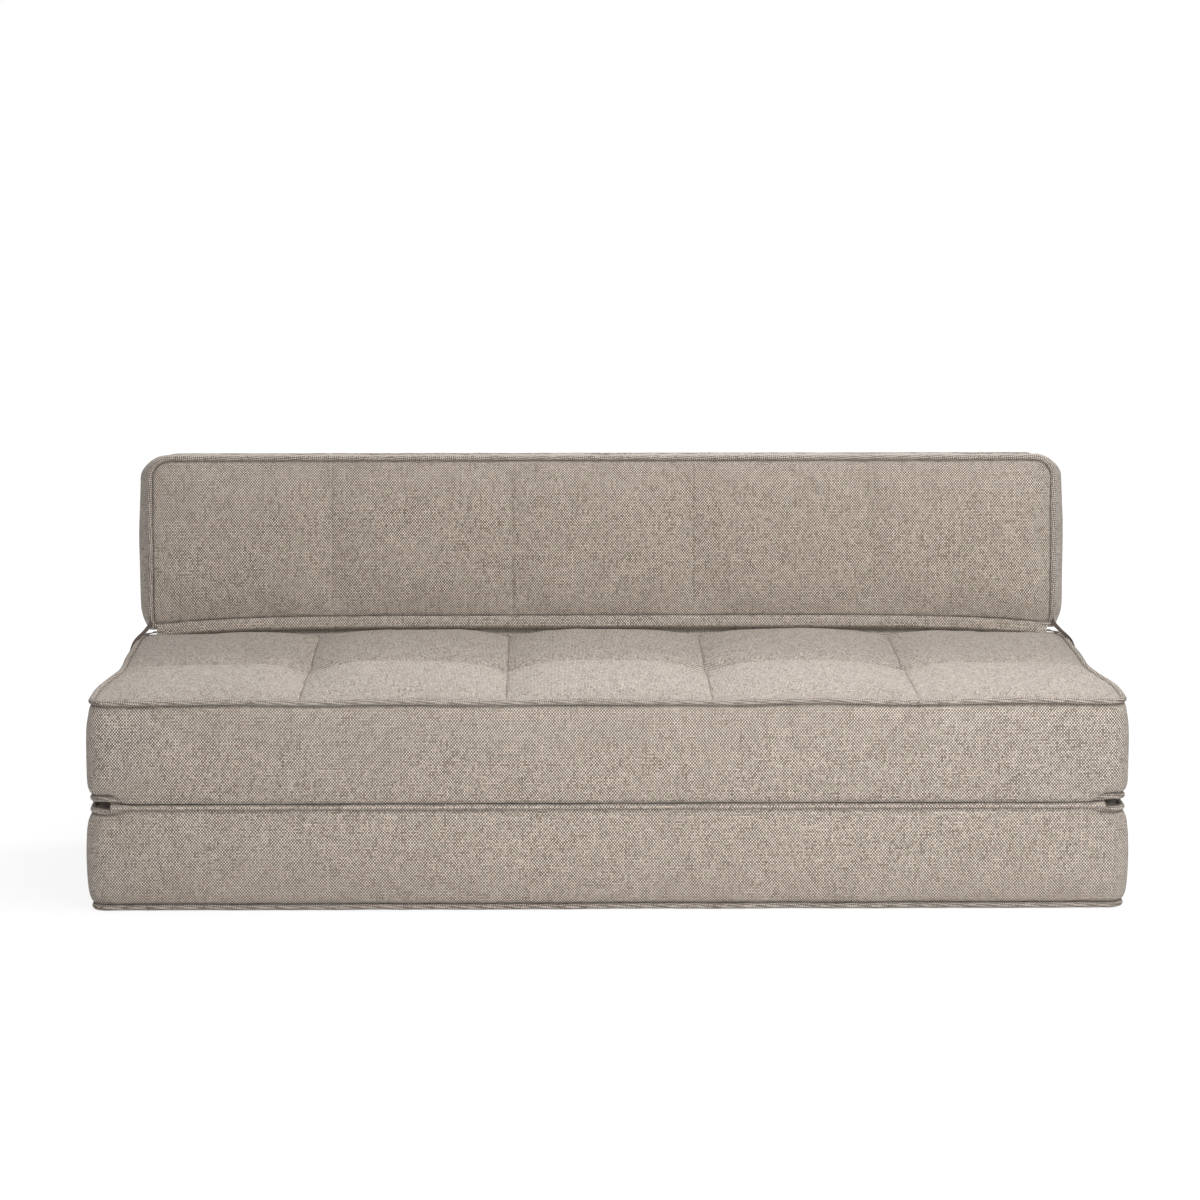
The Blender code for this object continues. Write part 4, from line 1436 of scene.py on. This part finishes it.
class SOFABED_OT_stage(PieceOperator, Operator):
    """Makes the studio: a pale floor, soft lamps, a white surround and the camera"""

    bl_idname = "sofa_bed.stage"
    bl_label = "Studio"

    def execute(self, context):
        make_floor()
        make_surround()
        make_lamps()
        make_camera()
        view = context.scene.view_settings
        view.view_transform = "Standard"
        return {"FINISHED"}


CAMERA_PLACE = (-0.120, -7.554, 1.699)
CAMERA_TURN = (math.radians(81.148), 0.0, math.radians(-0.829))
CAMERA_LENS = 118.97
FLOOR_SIZE = 30.0
FLOOR_PAINT = (0.8, 0.8, 0.8)
FLOOR_WHITE = 1.08
FLOOR_GLOW = 0.80
POOL_START = 1.3
POOL_END = 3.5


def make_camera():
    data = bpy.data.cameras.new("camera")
    data.lens = CAMERA_LENS
    data.sensor_width = 36.0
    camera = link_new("camera", data)
    camera.location = CAMERA_PLACE
    camera.rotation_euler = CAMERA_TURN
    bpy.context.scene.camera = camera


def seen_directly(nodes):
    """One for rays that show a surface as background: from the camera, a gloss or glass."""
    rays = nodes.add("ShaderNodeLightPath").outputs
    camera, gloss, glass = (Value(nodes, rays[f"Is {kind} Ray"])
                            for kind in ("Camera", "Glossy", "Transmission"))
    return (camera + gloss + glass).math("MINIMUM", 1.0)


def make_floor():
    """A pale floor that shows as white, with the object's shadow left on it."""
    mesh = bpy.data.meshes.new("floor")
    with editing(mesh) as bm:
        bmesh.ops.create_grid(bm, x_segments=8, y_segments=8, size=FLOOR_SIZE / 2)
    finish = Finish("floor", roughness=0.9)
    finish.shader.inputs["Base Color"].default_value = opaque(FLOOR_PAINT)
    glow = finish.add("ShaderNodeEmission", None,
                      {"Color": opaque((1.0, 1.0, 1.0)), "Strength": FLOOR_WHITE})
    place = finish.value("ShaderNodeVectorMath", {"operation": "LENGTH"},
                         {0: finish.object_place()}, "Value")
    away = finish.value("ShaderNodeMapRange", {"interpolation_type": "SMOOTHSTEP"},
                        {"Value": place, "From Min": POOL_START, "From Max": POOL_END,
                         "To Min": FLOOR_GLOW, "To Max": 1.0}, "Result")
    blend = finish.add("ShaderNodeMixShader", None, {0: seen_directly(finish) * away})
    links = finish.tree.links
    links.new(finish.shader.outputs[0], blend.inputs[1])
    links.new(glow.outputs[0], blend.inputs[2])
    links.new(blend.outputs[0], finish.tree.nodes["Material Output"].inputs["Surface"])
    mesh.materials.append(finish.material)
    link_new("floor", mesh)


AMBIENT = 0.55
LAMP_AIM = 0.35
LAMPS = (
    # name, place, size, watts
    ("overhead_softbox", (1.0, -0.7, 2.8), 1.8, 44.0),
    ("front_softbox", (0.8, -2.6, 1.15), 1.2, 32.0),
    ("rear_softbox", (0.4, 2.6, 2.45), 0.6, 62.0),
)


def make_surround():
    """A white backdrop that lights the object less than it shows."""
    world = bpy.data.worlds.new("surround")
    world.use_nodes = True
    bpy.context.scene.world = world
    nodes = Nodes(world.node_tree)
    strength = nodes.value("ShaderNodeMapRange", None,
                           {"Value": seen_directly(nodes), "To Min": AMBIENT, "To Max": 1.0},
                           "Result")
    backdrop = nodes.tree.nodes["Background"]
    backdrop.inputs["Color"].default_value = opaque((1.0, 1.0, 1.0))
    nodes.tree.links.new(strength.socket, backdrop.inputs["Strength"])


def make_lamps():
    target = Vector((0.0, 0.0, LAMP_AIM))
    for name, place, size, watts in LAMPS:
        data = bpy.data.lights.new(name, "AREA")
        data.shape = "SQUARE"
        data.size = size
        data.energy = watts
        lamp = link_new(name, data)
        lamp.location = place
        lamp.rotation_mode = "QUATERNION"
        lamp.rotation_quaternion = (target - Vector(place)).to_track_quat("-Z", "Y")
        lamp.visible_camera = False


MAKERS = (
    SOFABED_OT_fillings, SOFABED_OT_lining, SOFABED_OT_panels, SOFABED_OT_boxings,
    SOFABED_OT_cords, SOFABED_OT_bands, SOFABED_OT_straps, SOFABED_OT_zips,
    SOFABED_OT_sliders, SOFABED_OT_stage,
)


class SOFABED_PT_sidebar(Panel):
    """Lists the makers and the sizes and colours that they use"""

    bl_idname = "SOFABED_PT_sidebar"
    bl_label = "Armless Sofa Bed"
    bl_space_type = "VIEW_3D"
    bl_region_type = "UI"
    bl_category = "Sofa Bed"

    def draw(self, context):
        for maker in MAKERS:
            self.layout.operator(maker.bl_idname)
        for group in (sizes(), colours(), weave()):
            box = self.layout.box()
            for name in group.__annotations__:
                box.prop(group, name)


GROUPS = {
    "sofa_bed_sizes": SofaBedSizes,
    "sofa_bed_colours": SofaBedColours,
    "sofa_bed_weave": SofaBedWeave,
}


def register():
    for made in (*GROUPS.values(), *MAKERS, SOFABED_PT_sidebar):
        bpy.utils.register_class(made)
    for name, group in GROUPS.items():
        setattr(bpy.types.Scene, name, PointerProperty(type=group))


def unregister():
    for name in GROUPS:
        delattr(bpy.types.Scene, name)
    for made in reversed((*GROUPS.values(), *MAKERS, SOFABED_PT_sidebar)):
        bpy.utils.unregister_class(made)


def main():
    register()
    for maker in MAKERS:
        family, action = maker.bl_idname.split(".")
        getattr(getattr(bpy.ops, family), action)()


if __name__ == "__main__":
    main()
